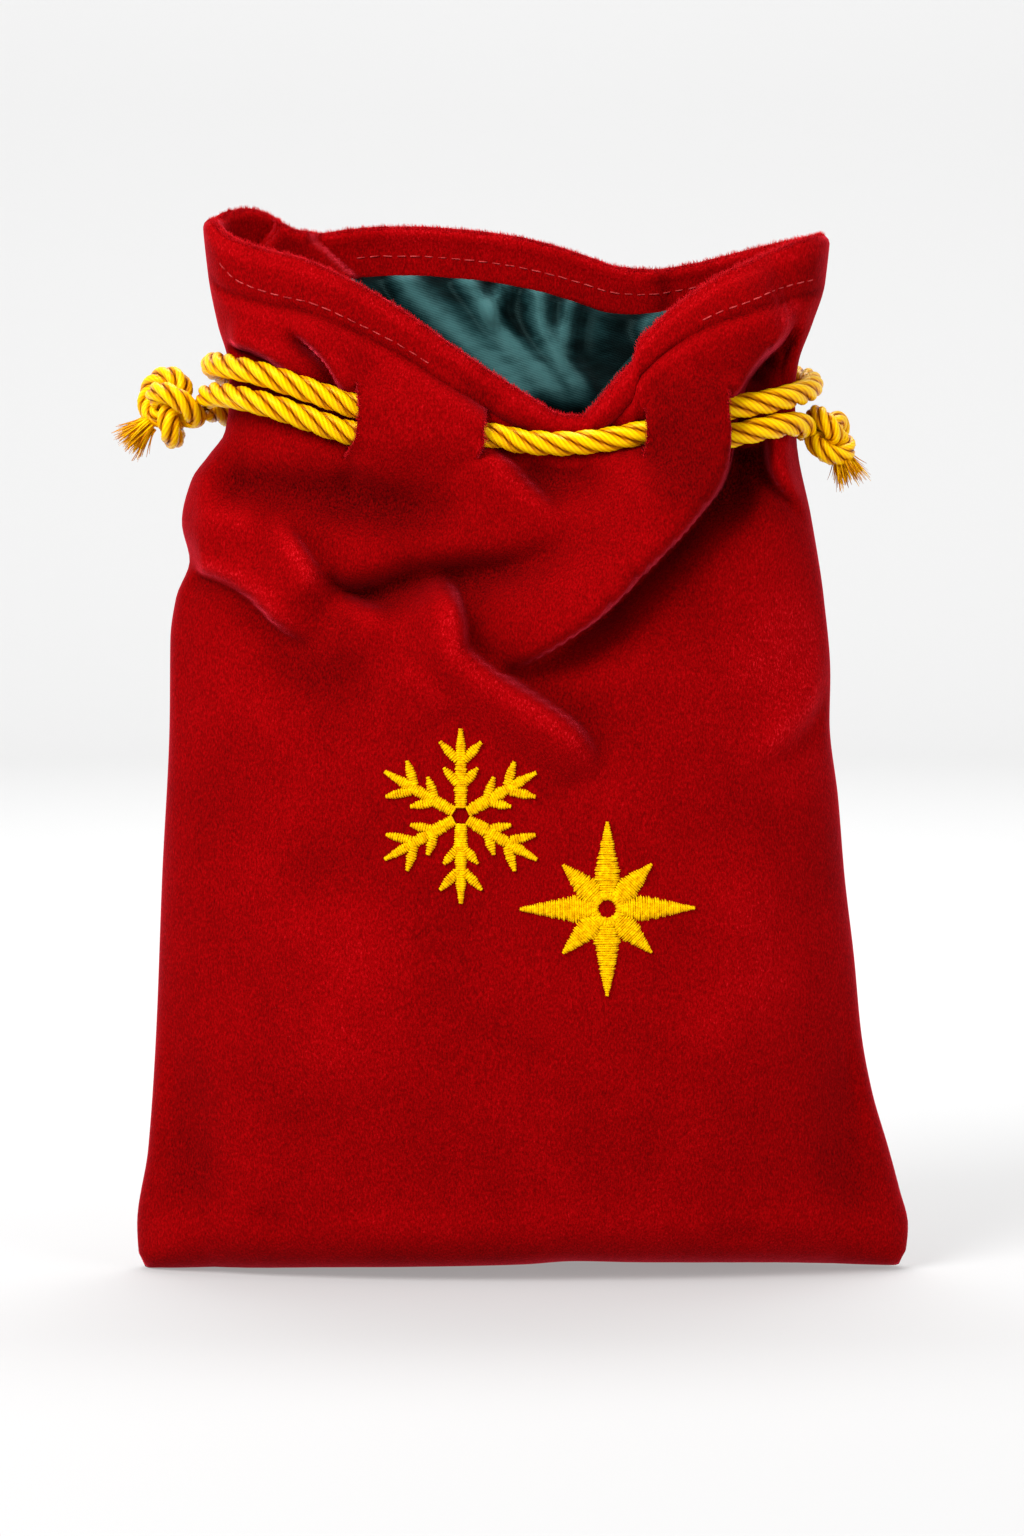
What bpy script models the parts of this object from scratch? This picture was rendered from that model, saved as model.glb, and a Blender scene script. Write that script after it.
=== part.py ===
"""Fabric gift sack: a lined velvet sack that stands on its own filled base.

Two velvet panels are sewn together at both sides and along the middle of the base.  Their
mouth edges are turned in as hems.  A satin lining hangs inside.  Two gold drawstrings weave
through cut slits in both panels, and each ends in a knot with a frayed tail at one side.
The origin is on the floor under the middle of the sack, +Z up, and the front faces -Y.
"""
import math

import bmesh
import bpy
from mathutils import Matrix, Vector

MM = 0.001                # the sizes below are in millimetres

VELVET = 1.6              # cloth thicknesses
SATIN = 0.8
SEAM_GAP = 0.35           # half the space left between two sewn edges
THREAD = 0.8              # sewing thread, diameter
CORD = 7.0                # drawstring, diameter
CORD_CLEAR = 5.2          # middle of the velvet to the middle of a cord it lies against
CORD_EASE = 8.0           # height over which the velvet comes back to its own line
FOOT_RADIUS = 14.0        # turn from the base to the walls
HEM_TURN = 1.1            # radius of the turned mouth edge
LINING_INSET = 5.0        # lining to velvet, at the sides and in the body
LINING_DROP = 1.2         # lining's top edge below the hem's
SEAM_INSET = 2.9          # side seam thread in from the cloth's own line
SEAM_FOOT, SEAM_TOP = 4, 281
BASE_SEAM_REACH = 104
BASE_SEAM_HEIGHT = VELVET + 0.3 + THREAD / 2
MOUTH_HEIGHT = 290        # heights at which a column's place across the mouth and neck is read
NECK_HEIGHT = 246
SLIT_REACH = 4.6          # how far a slit runs past the cords
STITCH_PLACE = 0.62       # share of the hem, from its turn, where its stitching lies
CORD_STEP = 8.0           # spacing of a cord's rings

RED = (0.38, 0.002, 0.006)
TEAL = (0.02, 0.09, 0.09)
GOLD = (0.78, 0.42, 0.01)
PINK = (0.7, 0.2, 0.2)

# Outline seen from the front: (height, x) of each side seam.
LEFT_EDGE = [
    (0, -112), (12, -111.6), (34, -108.5), (68, -106), (114, -104), (160, -101.6), (183, -101.3),
    (195, -99.6), (206, -96.2), (217, -97.6), (229, -95), (236, -90), (243, -85.2), (256, -83.8),
    (264, -84.2), (275, -87.2), (290, -90), (310, -91.6),
]
RIGHT_EDGE = [
    (0, 111), (10, 112), (22, 109.4), (34, 106.2), (51, 101.3), (68, 98.1), (91, 95.8), (114, 93),
    (137, 91), (160, 88.4), (172, 88.6), (195, 86.6), (218, 82.9), (240, 78.6), (256, 78),
    (264, 79), (275, 82.9), (287, 86.6), (310, 88.4),
]
# Half depth of the filled sack, and the two powers of its cross section, by height.
HALF_DEPTH = [(0, 31), (20, 33), (60, 37), (110, 38), (160, 36), (200, 31), (225, 27), (242, 25), (310, 25)]
SECTION_POWER = [(0, 2.2), (190, 2.4), (235, 5), (310, 5)]
SECTION_ROOT = [(0, 0.62), (190, 0.6), (235, 0.5), (310, 0.5)]
# Mouth edges: (x, height).  The front one sags to a V right of the middle.
FRONT_RIM = [
    (-92, 304.5), (-89.5, 303.8), (-83.5, 298.6), (-72.6, 295), (-62.5, 292.4), (-50, 286.6),
    (-38.4, 280), (-14.5, 263.2), (3, 252), (15, 246.5), (20, 249), (26, 257), (32.6, 265),
    (39.5, 272.5), (44.4, 278.5), (51.3, 284), (58, 288.6), (64.5, 291.6), (73, 295.4),
    (81.5, 298.4), (89, 300),
]
BACK_RIM = [
    (-92, 304.5), (-90, 304.5), (-86, 306.4), (-80, 307), (-75, 306), (-70, 303.6), (-60, 301),
    (-40, 303), (-20, 302.4), (0, 299.8), (10, 297.3), (20, 294), (28, 291.4), (38, 290.5),
    (50, 292.2), (60, 294.6), (70, 297), (80, 299), (89, 300),
]
FRONT_HEM = [(-92, 13.5), (-50, 12), (-14, 9), (15, 7), (33, 8.5), (60, 12), (89, 13.5)]
BACK_HEM = [(-92, 13.5), (89, 13.5)]

# The four slits of the front panel, as fractions of the half width from its middle.
FRONT_SLITS = [-0.54, -0.09, 0.468, 0.716]
SLIT_HALF_WIDTH = 0.6
# Heights of the lowest and highest cord that the front velvet meets: (x, low, high).
FRONT_BAND = [
    (-92, 254.6, 263), (-78, 253, 261.2), (-70, 250.8, 258.9), (-60, 247.3, 255.3),
    (-46, 243, 250.9), (-32, 242.8, 250.2), (-20, 242.8, 247.4), (-9, 242.8, 243.2),
    (0, 241.2, 241.2), (11, 240.6, 240.6), (23, 241.6, 241.6), (34, 243.4, 243.8),
    (44, 243.7, 246.9), (54, 241.9, 249.6), (62, 243.4, 251.2), (69, 245, 252.4),
    (76, 246.3, 254), (89, 246.6, 257),
]
# How far the cords stand from the middle plane: (distance from the neck's middle, depth).
CORD_DEPTH = [(0, 25), (44, 25), (56, 24.8), (66, 23.3), (72, 21.5), (78, 18), (90, 18)]
NECK_MIDDLE = -2.9        # x of the middle of the neck

# Shares of the cloth's length, base seam to neck, at which its rows lie.
BODY_ROWS = [0, 0.022, 0.044, 0.066, 0.1, 0.14, 0.24, 0.38, 0.54, 0.7, 0.84, 0.93, 1.0]
SLIT_ROWS = range(len(BODY_ROWS), len(BODY_ROWS) + 4)      # rows that a slit parts
FRONT_COLUMNS = (8, 4, 5, 3, 6)                            # columns between slits
LINING_ROWS = [0, 0.03, 0.06, 0.1, 0.16, 0.3, 0.46, 0.62, 0.78, 0.88, 0.95, 1.0]
LINING_NECKS = (238, 226)  # height of the lining's last even row, under a high or a low mouth edge
# How far the lining stands in from the velvet, by height.
NECK_INSET = [(0, 4), (205, 4.5), (232, 17.8), (246, 17.8), (262, 9), (276, 4.4), (310, 4.4)]

# Drawstring routes, from the knot round the sack and back to the knot.
LEFT_ROUTE = [
    (-91.1, -5.1, 253.8), (-88.3, -10, 254.6), (-84.2, -15.6, 254.2), (-78.1, -20.6, 253),
    (-70, -23.8, 250.8), (-60, -25, 247.3), (-52, -25, 244.5), (-44, -25, 242.9),
    (-28, -25, 242.8), (-9, -25, 242.9), (0, -25, 241.2), (11, -25, 240.6), (23, -25, 241.6),
    (34, -25, 243.8), (44, -25, 246.9), (54, -25, 249.6), (62, -24.5, 251.2), (69.4, -22.2, 252.4),
    (76.2, -17.6, 254), (81.3, -9.7, 255.6), (83.4, -1, 257.2), (82.7, 8.4, 258.8),
    (78.3, 15.8, 259.8), (70.6, 21.4, 259.4), (62, 24.3, 257.5), (52, 25.1, 254.3),
    (40.2, 25, 250.9), (30, 24.6, 250.7), (22.2, 22, 250), (13.2, 17.4, 247), (4.2, 14, 242.6),
    (-8, 12.7, 239), (-23.8, 12.7, 238), (-33.8, 13.3, 238.4), (-42.8, 15.5, 239.2),
    (-51.8, 21, 240.5), (-60.8, 24.3, 242), (-70.5, 23.9, 243.8), (-79.6, 20.2, 246.8),
    (-91.5, 5.3, 250.5),
]
RIGHT_ROUTE = [
    (81.2, -8.4, 245.1), (79.9, -13.5, 245.9), (76, -18.6, 246), (70.5, -22.1, 245.2),
    (63, -24.2, 243.6), (55, -24.4, 242), (46, -21, 240.5), (37, -15.5, 239.2),
    (28, -13.3, 238.4), (18, -12.7, 238), (2, -12.7, 239), (-10, -14, 242.6), (-19, -17.4, 247),
    (-28, -22, 250.1), (-37, -24.8, 250.8), (-46, -25, 250.9), (-57, -25, 254.4),
    (-66, -24.4, 257.6), (-74.6, -22, 260.4), (-82.3, -17, 262.2), (-87.4, -9.5, 263.2),
    (-89.4, 0, 263), (-88, 9.7, 261.4), (-83.6, 16.8, 258.8), (-76.4, 21.6, 255.4),
    (-68, 24.5, 252), (-59.8, 25, 249.6), (-49.8, 25, 246.9), (-39.8, 25, 243.8),
    (-28.8, 25, 241.6), (-16.8, 25, 240.6), (-5.8, 25, 241.2), (3.2, 25, 242.9), (22, 25, 242.8),
    (38.2, 25, 242.9), (46.2, 25, 244.5), (54.2, 25, 246.8), (62.2, 24.6, 248.2),
    (70.6, 22.1, 248.2), (77.8, 16.8, 247.2), (82.4, 6.2, 244.3),
]
LEFT_KNOT = ((-101.5, 0, 251), (10, 9.5, 10))
RIGHT_KNOT = ((88.5, -3, 242.5), (8, 8, 6.5))
# Frayed tails: (middle of the end against the knot, direction, length, two radii).
LEFT_TAIL = ((-110, 0, 243.5), (-0.75, 0, -0.66), 7.0, 4.0, 5.0)
RIGHT_TAIL = ((91.7, -3, 234.9), (0.4, 0, -0.92), 6.0, 3.0, 4.5)

# Embroidered motifs: (x, z) of the middle, arms, outer and inner radius.
SNOWFLAKE = ((-17.5, 135.5), 6, 24.5, 9.0)
STAR = ((24.0, 109.0), 8, 24.5, 10.5)
EMBROIDERY = 0.8
EMBROIDERY_STAND = 2.3    # middle of the velvet to the middle of the stitches

FRONT, BACK = -1, 1


# ---------------------------------------------------------------- curves and sections
def along(table, key, column=1):
    """Smooth value of a table at a key, with no overshoot between its points."""
    if key <= table[0][0]:
        return table[0][column]
    if key >= table[-1][0]:
        return table[-1][column]
    i = max(k for k in range(len(table) - 1) if table[k][0] <= key)
    slopes = []
    for k in (i - 1, i, i + 1):
        if 0 <= k < len(table) - 1:
            slopes.append((table[k + 1][column] - table[k][column]) / (table[k + 1][0] - table[k][0]))
        else:
            slopes.append(0.0)
    start = 0.0 if slopes[0] * slopes[1] <= 0 else 2 / (1 / slopes[0] + 1 / slopes[1])
    end = 0.0 if slopes[1] * slopes[2] <= 0 else 2 / (1 / slopes[1] + 1 / slopes[2])
    width = table[i + 1][0] - table[i][0]
    t = (key - table[i][0]) / width
    low, high = table[i][column], table[i + 1][column]
    return (
        low * (1 + 2 * t) * (1 - t) ** 2 + high * t * t * (3 - 2 * t)
        + width * t * (1 - t) * (start * (1 - t) - end * t)
    )


def edges(z):
    """Middle and half width of the sack at a height."""
    left, right = along(LEFT_EDGE, z), along(RIGHT_EDGE, z)
    return (left + right) / 2, (right - left) / 2


def bulge(across, z):
    """How full the cross section is at a fraction of its half width."""
    return max(0.0, 1 - abs(across) ** along(SECTION_POWER, z)) ** along(SECTION_ROOT, z)


def wall(across, z, side, inset=0.0, inset_depth=0.0):
    """Point (x, y) of a wall at a height; insets bring it in from the sides and the face."""
    middle, half = edges(z)
    depth = (along(HALF_DEPTH, z) - inset_depth) * bulge(across, z)
    return middle + (half - inset) * across, side * max(depth, SEAM_GAP)


def columns(stops, counts):
    """Fractions of the half width, closer together towards the side seams."""
    turns = [math.acos(-s) for s in stops]
    row = []
    for (a, b), n in zip(zip(turns, turns[1:]), counts):
        row += [-math.cos(a + (b - a) * k / n) for k in range(n)]
    return row + [1.0]


def footed(across, side, run, inset=0.0):
    """Point a given length up the cloth from the base seam: over the base, round, and up."""
    flat_depth = (along(HALF_DEPTH, FOOT_RADIUS) - inset) * bulge(across, FOOT_RADIUS)
    radius = min(FOOT_RADIUS, max(flat_depth, 0.01))
    flat = max(flat_depth - radius, 0.0)
    turn = radius * math.pi / 2
    floor = VELVET / 2 + inset
    if run < flat:
        depth, z = run, 0.0
    elif run < flat + turn:
        angle = (run - flat) / radius
        depth, z = flat + radius * math.sin(angle), radius * (1 - math.cos(angle))
    else:
        z = radius + run - flat - turn
        depth = None
    x, y = wall(across, z + floor, side, inset, inset)
    if depth is not None:
        y = side * max(depth, SEAM_GAP)
    return Vector((x, y, z + floor))


def run_to(across, height, inset=0.0):
    """Length of cloth from the base seam up to a height."""
    flat_depth = (along(HALF_DEPTH, FOOT_RADIUS) - inset) * bulge(across, FOOT_RADIUS)
    radius = min(FOOT_RADIUS, max(flat_depth, 0.01))
    return max(flat_depth - radius, 0.0) + radius * math.pi / 2 + height - radius - VELVET / 2 - inset


# ---------------------------------------------------------------- velvet panels
def band(side, x):
    """Lowest and highest cord height that the velvet meets at x."""
    key = x if side == FRONT else 2 * NECK_MIDDLE - x
    return along(FRONT_BAND, key, 1), along(FRONT_BAND, key, 2)


def woven(point, side, over, low, high):
    """Move a point of the velvet behind the cords, or in front of them where it is over them."""
    gap = max(low - point.z, point.z - high, 0.0)
    share = max(0.0, 1 - (gap / CORD_EASE) ** 2) ** 0.75
    cord = along(CORD_DEPTH, abs(point.x - NECK_MIDDLE))
    depth = abs(point.y)
    target = max(depth, cord + CORD_CLEAR) if over else min(depth, cord - CORD_CLEAR)
    return Vector((point.x, side * max(depth + (target - depth) * share, SEAM_GAP), point.z))


def panel_column(across, side, over):
    """Points of one column of a panel, from the base seam up and over the hem."""
    rim_table, hem_table = (FRONT_RIM, FRONT_HEM) if side == FRONT else (BACK_RIM, BACK_HEM)
    x_top = wall(across, MOUTH_HEIGHT, side)[0]
    x_neck = wall(across, NECK_HEIGHT, side)[0]
    rim = along(rim_table, x_top if along(rim_table, x_top) > 270 else x_neck)
    hem = along(hem_table, x_top)
    low, high = band(side, x_neck)

    points = []
    length = run_to(across, low - CORD_EASE)
    for part in BODY_ROWS:
        points.append(footed(across, side, part * length))
    climb = (points[1] - points[0]).normalized().z
    points[0].y = side * (SEAM_GAP + climb * VELVET / 2)
    room = rim - HEM_TURN - high
    heights = [low - SLIT_REACH, low, max(high, low + 0.4)]
    heights.append(high + min(SLIT_REACH, 0.45 * room))
    top = high + min(CORD_EASE, 0.75 * room)
    heights += [top + (rim - HEM_TURN - top) * k / 2 for k in (0, 1, 2)]
    for z in heights:
        x, y = wall(across, z, side)
        points.append(woven(Vector((x, y, z)), side, over, low, high))
    inward = Vector((-across ** 5, -side * (1 - abs(across) ** 5), 0)).normalized()
    edge = points[-1]
    points.append(edge + inward * HEM_TURN + Vector((0, 0, HEM_TURN)))
    points.append(edge + inward * 2 * HEM_TURN)
    last = woven(Vector((edge.x, edge.y, rim - hem)), side, over, low, high)
    points.append(last + inward * 2 * HEM_TURN)
    return points


def make_panel(name, side, colour):
    """A velvet panel: one sheet with four slits, given its thickness."""
    if side == FRONT:
        stops, counts = [-1] + FRONT_SLITS + [1], FRONT_COLUMNS
    else:
        stops, counts = [-1] + [-s for s in reversed(FRONT_SLITS)] + [1], FRONT_COLUMNS[::-1]
    row = columns(stops, counts)
    starts = [sum(counts[:k]) for k in range(len(counts) + 1)]
    mesh = bmesh.new()
    previous = None
    for k in range(len(counts)):
        over = k in (1, 3)
        for c in range(starts[k], starts[k + 1] + 1):
            points = panel_column(row[c], side, over)
            if abs(row[c]) == 1:
                beside = panel_column(row[1] if c == 0 else row[-2], side, over)
                clear_edge(points, beside, side, VELVET)
            if c == starts[k] and previous:
                verts = list(previous)
                for r in SLIT_ROWS:
                    push = Vector((SLIT_HALF_WIDTH, 0, 0))
                    previous[r].co.x -= SLIT_HALF_WIDTH * MM
                    verts[r] = mesh.verts.new((points[r] + push) * MM)
            else:
                verts = [mesh.verts.new(p * MM) for p in points]
                if previous:
                    for r in range(len(points) - 1):
                        quad = [previous[r], verts[r], verts[r + 1], previous[r + 1]]
                        mesh.faces.new(quad if side == FRONT else quad[::-1])
            previous = verts
    return thick_sheet(name, mesh, VELVET, colour, 0.9)


def clear_edge(points, beside, side, thickness):
    """Hold a side edge off the seam, so that its thickness leaves the seam's gap."""
    for p, q in list(zip(points, beside))[1:]:
        step = q - p
        p.y = side * (SEAM_GAP + abs(step.x) / max(step.length, 0.01) * thickness / 2)


def thick_sheet(name, mesh, thickness, colour, roughness):
    """Put an open sheet into the scene and give it its thickness, half on each side."""
    mesh.normal_update()
    data = bpy.data.meshes.new(name)
    mesh.to_mesh(data)
    mesh.free()
    sheet = place(name, data, colour, roughness)
    shell = sheet.modifiers.new("thickness", "SOLIDIFY")
    shell.thickness = thickness * MM
    shell.offset = 0
    return sheet


# ---------------------------------------------------------------- lining
def lining_column(across, side):
    """Points of one column of the lining, from its base seam up to the hem."""
    rim_table, hem_table = (FRONT_RIM, FRONT_HEM) if side == FRONT else (BACK_RIM, BACK_HEM)
    x_top = wall(across, MOUTH_HEIGHT, side)[0]
    top = along(rim_table, x_top) - along(hem_table, x_top) - LINING_DROP
    neck = LINING_NECKS[0] if top > NECK_HEIGHT + 4 else LINING_NECKS[1]
    length = run_to(across, neck, LINING_INSET)
    points = [footed(across, side, part * length, LINING_INSET) for part in LINING_ROWS]
    points[0].y = side * (SEAM_GAP + (points[1] - points[0]).normalized().z * SATIN / 2)
    points += [Vector((0, 0, neck + (top - neck) * k / 4)) for k in (1, 2, 3, 4)]
    for p in points:
        if p.z > 180:
            p.x, p.y = wall(across, p.z, side, LINING_INSET, along(NECK_INSET, p.z))
    return points


def make_lining(name, side, colour):
    """Half of the satin lining: it hangs inside the velvet and clears the cords at the neck."""
    mesh = bmesh.new()
    previous = None
    row = columns([-1, 0, 1], (9, 9))
    for across in row:
        points = lining_column(across, side)
        if abs(across) == 1:
            clear_edge(points, lining_column(row[1] if across < 0 else row[-2], side), side, SATIN)
        verts = [mesh.verts.new(p * MM) for p in points]
        if previous:
            for r in range(len(points) - 1):
                quad = [previous[r], verts[r], verts[r + 1], previous[r + 1]]
                mesh.faces.new(quad if side == FRONT else quad[::-1])
        previous = verts
    return thick_sheet(name, mesh, SATIN, colour, 0.35)


# ---------------------------------------------------------------- cords, threads and knots
def smooth_path(points, step):
    """Evenly spaced points on a smooth curve through the route's own points."""
    knots = [Vector(p) for p in points]
    knots = [2 * knots[0] - knots[1]] + knots + [2 * knots[-1] - knots[-2]]
    fine = []
    for a, b, c, d in zip(knots, knots[1:], knots[2:], knots[3:]):
        for k in range(12):
            t = k / 12
            fine.append(
                0.5 * (2 * b + (c - a) * t + (2 * a - 5 * b + 4 * c - d) * t ** 2
                       + (3 * b - a - 3 * c + d) * t ** 3)
            )
    fine.append(knots[-2])
    total = sum((q - p).length for p, q in zip(fine, fine[1:]))
    count = max(2, round(total / step))
    path, done, i = [fine[0]], 0.0, 0
    for k in range(1, count):
        want = total * k / count
        while done + (fine[i + 1] - fine[i]).length < want:
            done += (fine[i + 1] - fine[i]).length
            i += 1
        share = (want - done) / (fine[i + 1] - fine[i]).length
        path.append(fine[i].lerp(fine[i + 1], share))
    return path + [fine[-1]]


def make_tube(name, path, diameter, colour, roughness, resolution=2):
    """A round tube along a path, with closed ends."""
    curve = bpy.data.curves.new(name, "CURVE")
    curve.dimensions = "3D"
    curve.bevel_depth = diameter / 2 * MM
    curve.bevel_resolution = resolution
    curve.use_fill_caps = True
    spline = curve.splines.new("POLY")
    spline.points.add(len(path) - 1)
    for point, p in zip(spline.points, path):
        point.co = (*(Vector(p) * MM), 1)
    return place(name, curve, colour, roughness)


def make_knot(name, knot, colour):
    """The bunched turns of a stopper knot, as one rounded body."""
    (x, y, z), radii = knot
    mesh = bmesh.new()
    bmesh.ops.create_uvsphere(mesh, u_segments=16, v_segments=10, radius=1)
    for v in mesh.verts:
        v.co = Vector([c * r * MM for c, r in zip(v.co, radii)])
    data = bpy.data.meshes.new(name)
    mesh.to_mesh(data)
    mesh.free()
    data.shade_smooth()
    body = place(name, data, colour, 0.5)
    body.location = Vector((x, y, z)) * MM
    return body


def make_tail(name, tail, colour):
    """The frayed end of a cord: a short tuft that opens away from its knot."""
    start, direction, length, near, far = tail
    way = Vector(direction).normalized()
    mesh = bmesh.new()
    bmesh.ops.create_cone(
        mesh, cap_ends=True, segments=12, radius1=near * MM, radius2=far * MM, depth=length * MM
    )
    data = bpy.data.meshes.new(name)
    mesh.to_mesh(data)
    mesh.free()
    tuft = place(name, data, colour, 0.7)
    tuft.matrix_world = (
        Matrix.Translation((Vector(start) + way * length / 2) * MM)
        @ way.to_track_quat("Z", "Y").to_matrix().to_4x4()
    )
    return tuft


# ---------------------------------------------------------------- stitching and embroidery
def hem_path(side):
    """The hem's stitch line, on the inside of the turned velvet."""
    stand = VELVET / 2 + 1.6 * THREAD
    path = []
    for across in columns([-1, -0.54, 0.1, 0.6, 1], (6, 7, 6, 5))[1:-1]:
        edge, foot = panel_column(across, side, False)[-2:]
        point = edge.lerp(foot, STITCH_PLACE)
        inward = Vector((-across ** 5, -side * (1 - abs(across) ** 5), 0)).normalized()
        path.append(point + inward * stand)
    return path


def motif_point(x, z):
    """A place on the front of the sack, out where the embroidery lies."""
    middle, half = edges(z)
    depth = along(HALF_DEPTH, z) * bulge((x - middle) / half, z)
    return Vector((x, -depth - EMBROIDERY_STAND, z))


def make_motif(name, motif, colour):
    """A pointed figure of raised stitches that follows the curve of the front panel."""
    (x, z), arms, outer, inner = motif
    mesh = bmesh.new()
    centre = mesh.verts.new(motif_point(x, z) * MM)
    rings = []
    for share in (0.5, 1.0):
        ring = []
        for k in range(2 * arms):
            reach = (outer if k % 2 == 0 else inner) * share
            angle = math.pi * k / arms + math.pi / 2
            point = motif_point(x + reach * math.cos(angle), z + reach * math.sin(angle))
            ring.append(mesh.verts.new(point * MM))
        rings.append(ring)
    for k in range(2 * arms):
        after = (k + 1) % (2 * arms)
        mesh.faces.new((centre, rings[0][k], rings[0][after]))
        mesh.faces.new((rings[0][k], rings[1][k], rings[1][after], rings[0][after]))
    bmesh.ops.recalc_face_normals(mesh, faces=mesh.faces)
    return thick_sheet(name, mesh, EMBROIDERY, colour, 0.4)


# ---------------------------------------------------------------- scene
def place(name, data, colour, roughness):
    """Put a named piece into the sack's collection with its own finish."""
    finish = bpy.data.materials.new(name)
    finish.use_nodes = True
    shader = finish.node_tree.nodes["Principled BSDF"]
    shader.inputs["Base Color"].default_value = (*colour, 1)
    shader.inputs["Roughness"].default_value = roughness
    shader.inputs["Metallic"].default_value = 0
    data.materials.append(finish)
    piece = bpy.data.objects.new(name, data)
    sack.objects.link(piece)
    return piece


for old in list(bpy.data.objects):
    bpy.data.objects.remove(old)
sack = bpy.data.collections.new("gift_sack")
bpy.context.scene.collection.children.link(sack)

make_panel("front_panel", FRONT, RED)
make_panel("back_panel", BACK, RED)
make_lining("front_lining", FRONT, TEAL)
make_lining("back_lining", BACK, TEAL)
make_tube("front_hem_stitching", hem_path(FRONT), THREAD, PINK, 0.6, 0)
make_tube("back_hem_stitching", hem_path(BACK), THREAD, PINK, 0.6, 0)

for name, across in (("left_seam", -1), ("right_seam", 1)):
    seam = [p for p in panel_column(across, FRONT, False) if SEAM_FOOT < p.z < SEAM_TOP]
    line = [(p.x - across * SEAM_INSET, 0, p.z) for p in seam]
    make_tube(name, line, THREAD, RED, 0.6, 0)
base_line = [(x, 0, BASE_SEAM_HEIGHT) for x in (-BASE_SEAM_REACH, 0, BASE_SEAM_REACH)]
make_tube("base_seam", base_line, THREAD, RED, 0.6, 0)

make_motif("embroidered_snowflake", SNOWFLAKE, GOLD)
make_motif("embroidered_star", STAR, GOLD)

make_tube("left_drawstring", smooth_path(LEFT_ROUTE, CORD_STEP), CORD, GOLD, 0.4)
make_tube("right_drawstring", smooth_path(RIGHT_ROUTE, CORD_STEP), CORD, GOLD, 0.4)
make_knot("left_knot", LEFT_KNOT, GOLD)
make_knot("right_knot", RIGHT_KNOT, GOLD)
make_tail("left_frayed_end", LEFT_TAIL, GOLD)
make_tail("right_frayed_end", RIGHT_TAIL, GOLD)
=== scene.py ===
"""Fabric gift sack, finished: velvet panels, satin lining, stitching, embroidery and gold cords.

The sack is put together here in the order it is made.  Lengths are in millimetres until a
mesh is built, then metres.  +Z is up, the front faces -Y, and the floor is z = 0.
"""

import math
import random

import bmesh
import bpy
import numpy as np
from mathutils import Matrix, Vector
from mathutils.bvhtree import BVHTree


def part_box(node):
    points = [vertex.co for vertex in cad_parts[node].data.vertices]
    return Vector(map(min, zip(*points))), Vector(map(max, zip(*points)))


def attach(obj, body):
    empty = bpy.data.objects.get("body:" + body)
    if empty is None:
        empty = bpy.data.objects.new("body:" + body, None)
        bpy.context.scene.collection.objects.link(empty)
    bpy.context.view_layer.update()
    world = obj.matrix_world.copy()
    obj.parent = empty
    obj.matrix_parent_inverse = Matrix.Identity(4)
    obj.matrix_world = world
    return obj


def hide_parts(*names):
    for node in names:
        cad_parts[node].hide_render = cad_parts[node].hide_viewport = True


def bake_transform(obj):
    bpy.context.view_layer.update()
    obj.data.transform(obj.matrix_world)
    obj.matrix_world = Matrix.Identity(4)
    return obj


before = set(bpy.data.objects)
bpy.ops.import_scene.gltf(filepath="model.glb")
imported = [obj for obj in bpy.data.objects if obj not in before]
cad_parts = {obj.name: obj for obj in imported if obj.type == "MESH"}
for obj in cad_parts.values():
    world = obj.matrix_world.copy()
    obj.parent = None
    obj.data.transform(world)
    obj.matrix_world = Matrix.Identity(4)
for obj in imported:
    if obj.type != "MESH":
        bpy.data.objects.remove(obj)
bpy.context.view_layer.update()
MM = 0.001
FRONT, BACK = -1, 1

# ------------------------------------------------------------------ velvet panels: the shape
# Two rectangles of cotton velvet, sewn at the sides and across the base with the seam
# allowances inside.  The mouth edge is turned in as a hem, and four slits let the cords
# through.  The sack stands filled, so the cloth bellies out and gathers under the cords.
VELVET = 1.5
SEAM_GAP = 0.12
FOOT_RADIUS = 17.0
HEM_TURN = 1.9
HEM_FULLNESS = 1.3
STITCH_DIP = 0.9
FOLD_DEPTH = 1.25
CORD_CLEAR = 5.0
CORD_EASE = 8.0
NECK_MIDDLE = -2.9
NECK_HEIGHT = 246
MOUTH_HEIGHT = 290

LEFT_EDGE = [
    (0, -109.6), (4, -111.4), (12, -111.8), (34, -108.5), (68, -106), (114, -104),
    (160, -101.6), (183, -101.3), (195, -99.6), (206, -95.6), (217, -97.8), (229, -95),
    (236, -90), (243, -85.2), (256, -83.8), (264, -84.2), (275, -87.2), (290, -90), (310, -91.6),
]
RIGHT_EDGE = [
    (0, 109.5), (4, 111.4), (11, 112), (22, 109.4), (34, 106.2), (51, 101.3), (68, 98.1),
    (91, 95.8), (114, 93), (137, 91), (160, 88.4), (172, 88.6), (195, 86.6), (218, 82.9),
    (240, 78.6), (256, 78), (264, 79), (275, 82.9), (287, 86.6), (310, 88.4),
]
HALF_DEPTH = [
    (0, 31), (20, 33), (60, 37), (110, 38), (160, 36), (200, 31), (225, 27), (242, 25), (310, 25),
]
SECTION_POWER = [(0, 2.2), (190, 2.4), (235, 5), (310, 5)]
SECTION_ROOT = [(0, 0.62), (190, 0.6), (235, 0.5), (310, 0.5)]
FRONT_RIM = [
    (-92, 304.5), (-89.5, 303.8), (-87, 300.8), (-83.5, 298.6), (-72.6, 295), (-62.5, 292.4),
    (-50, 286.6), (-38.4, 280), (-14.5, 263.6), (3, 252.6), (11, 248.4), (17.5, 248), (20, 250.5),
    (26, 257.5), (32.6, 265), (39.5, 272.5), (44.4, 278), (51.3, 284), (58, 288.6), (64.5, 291.6),
    (73, 295.4), (81.5, 298.4), (89, 300),
]
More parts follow.
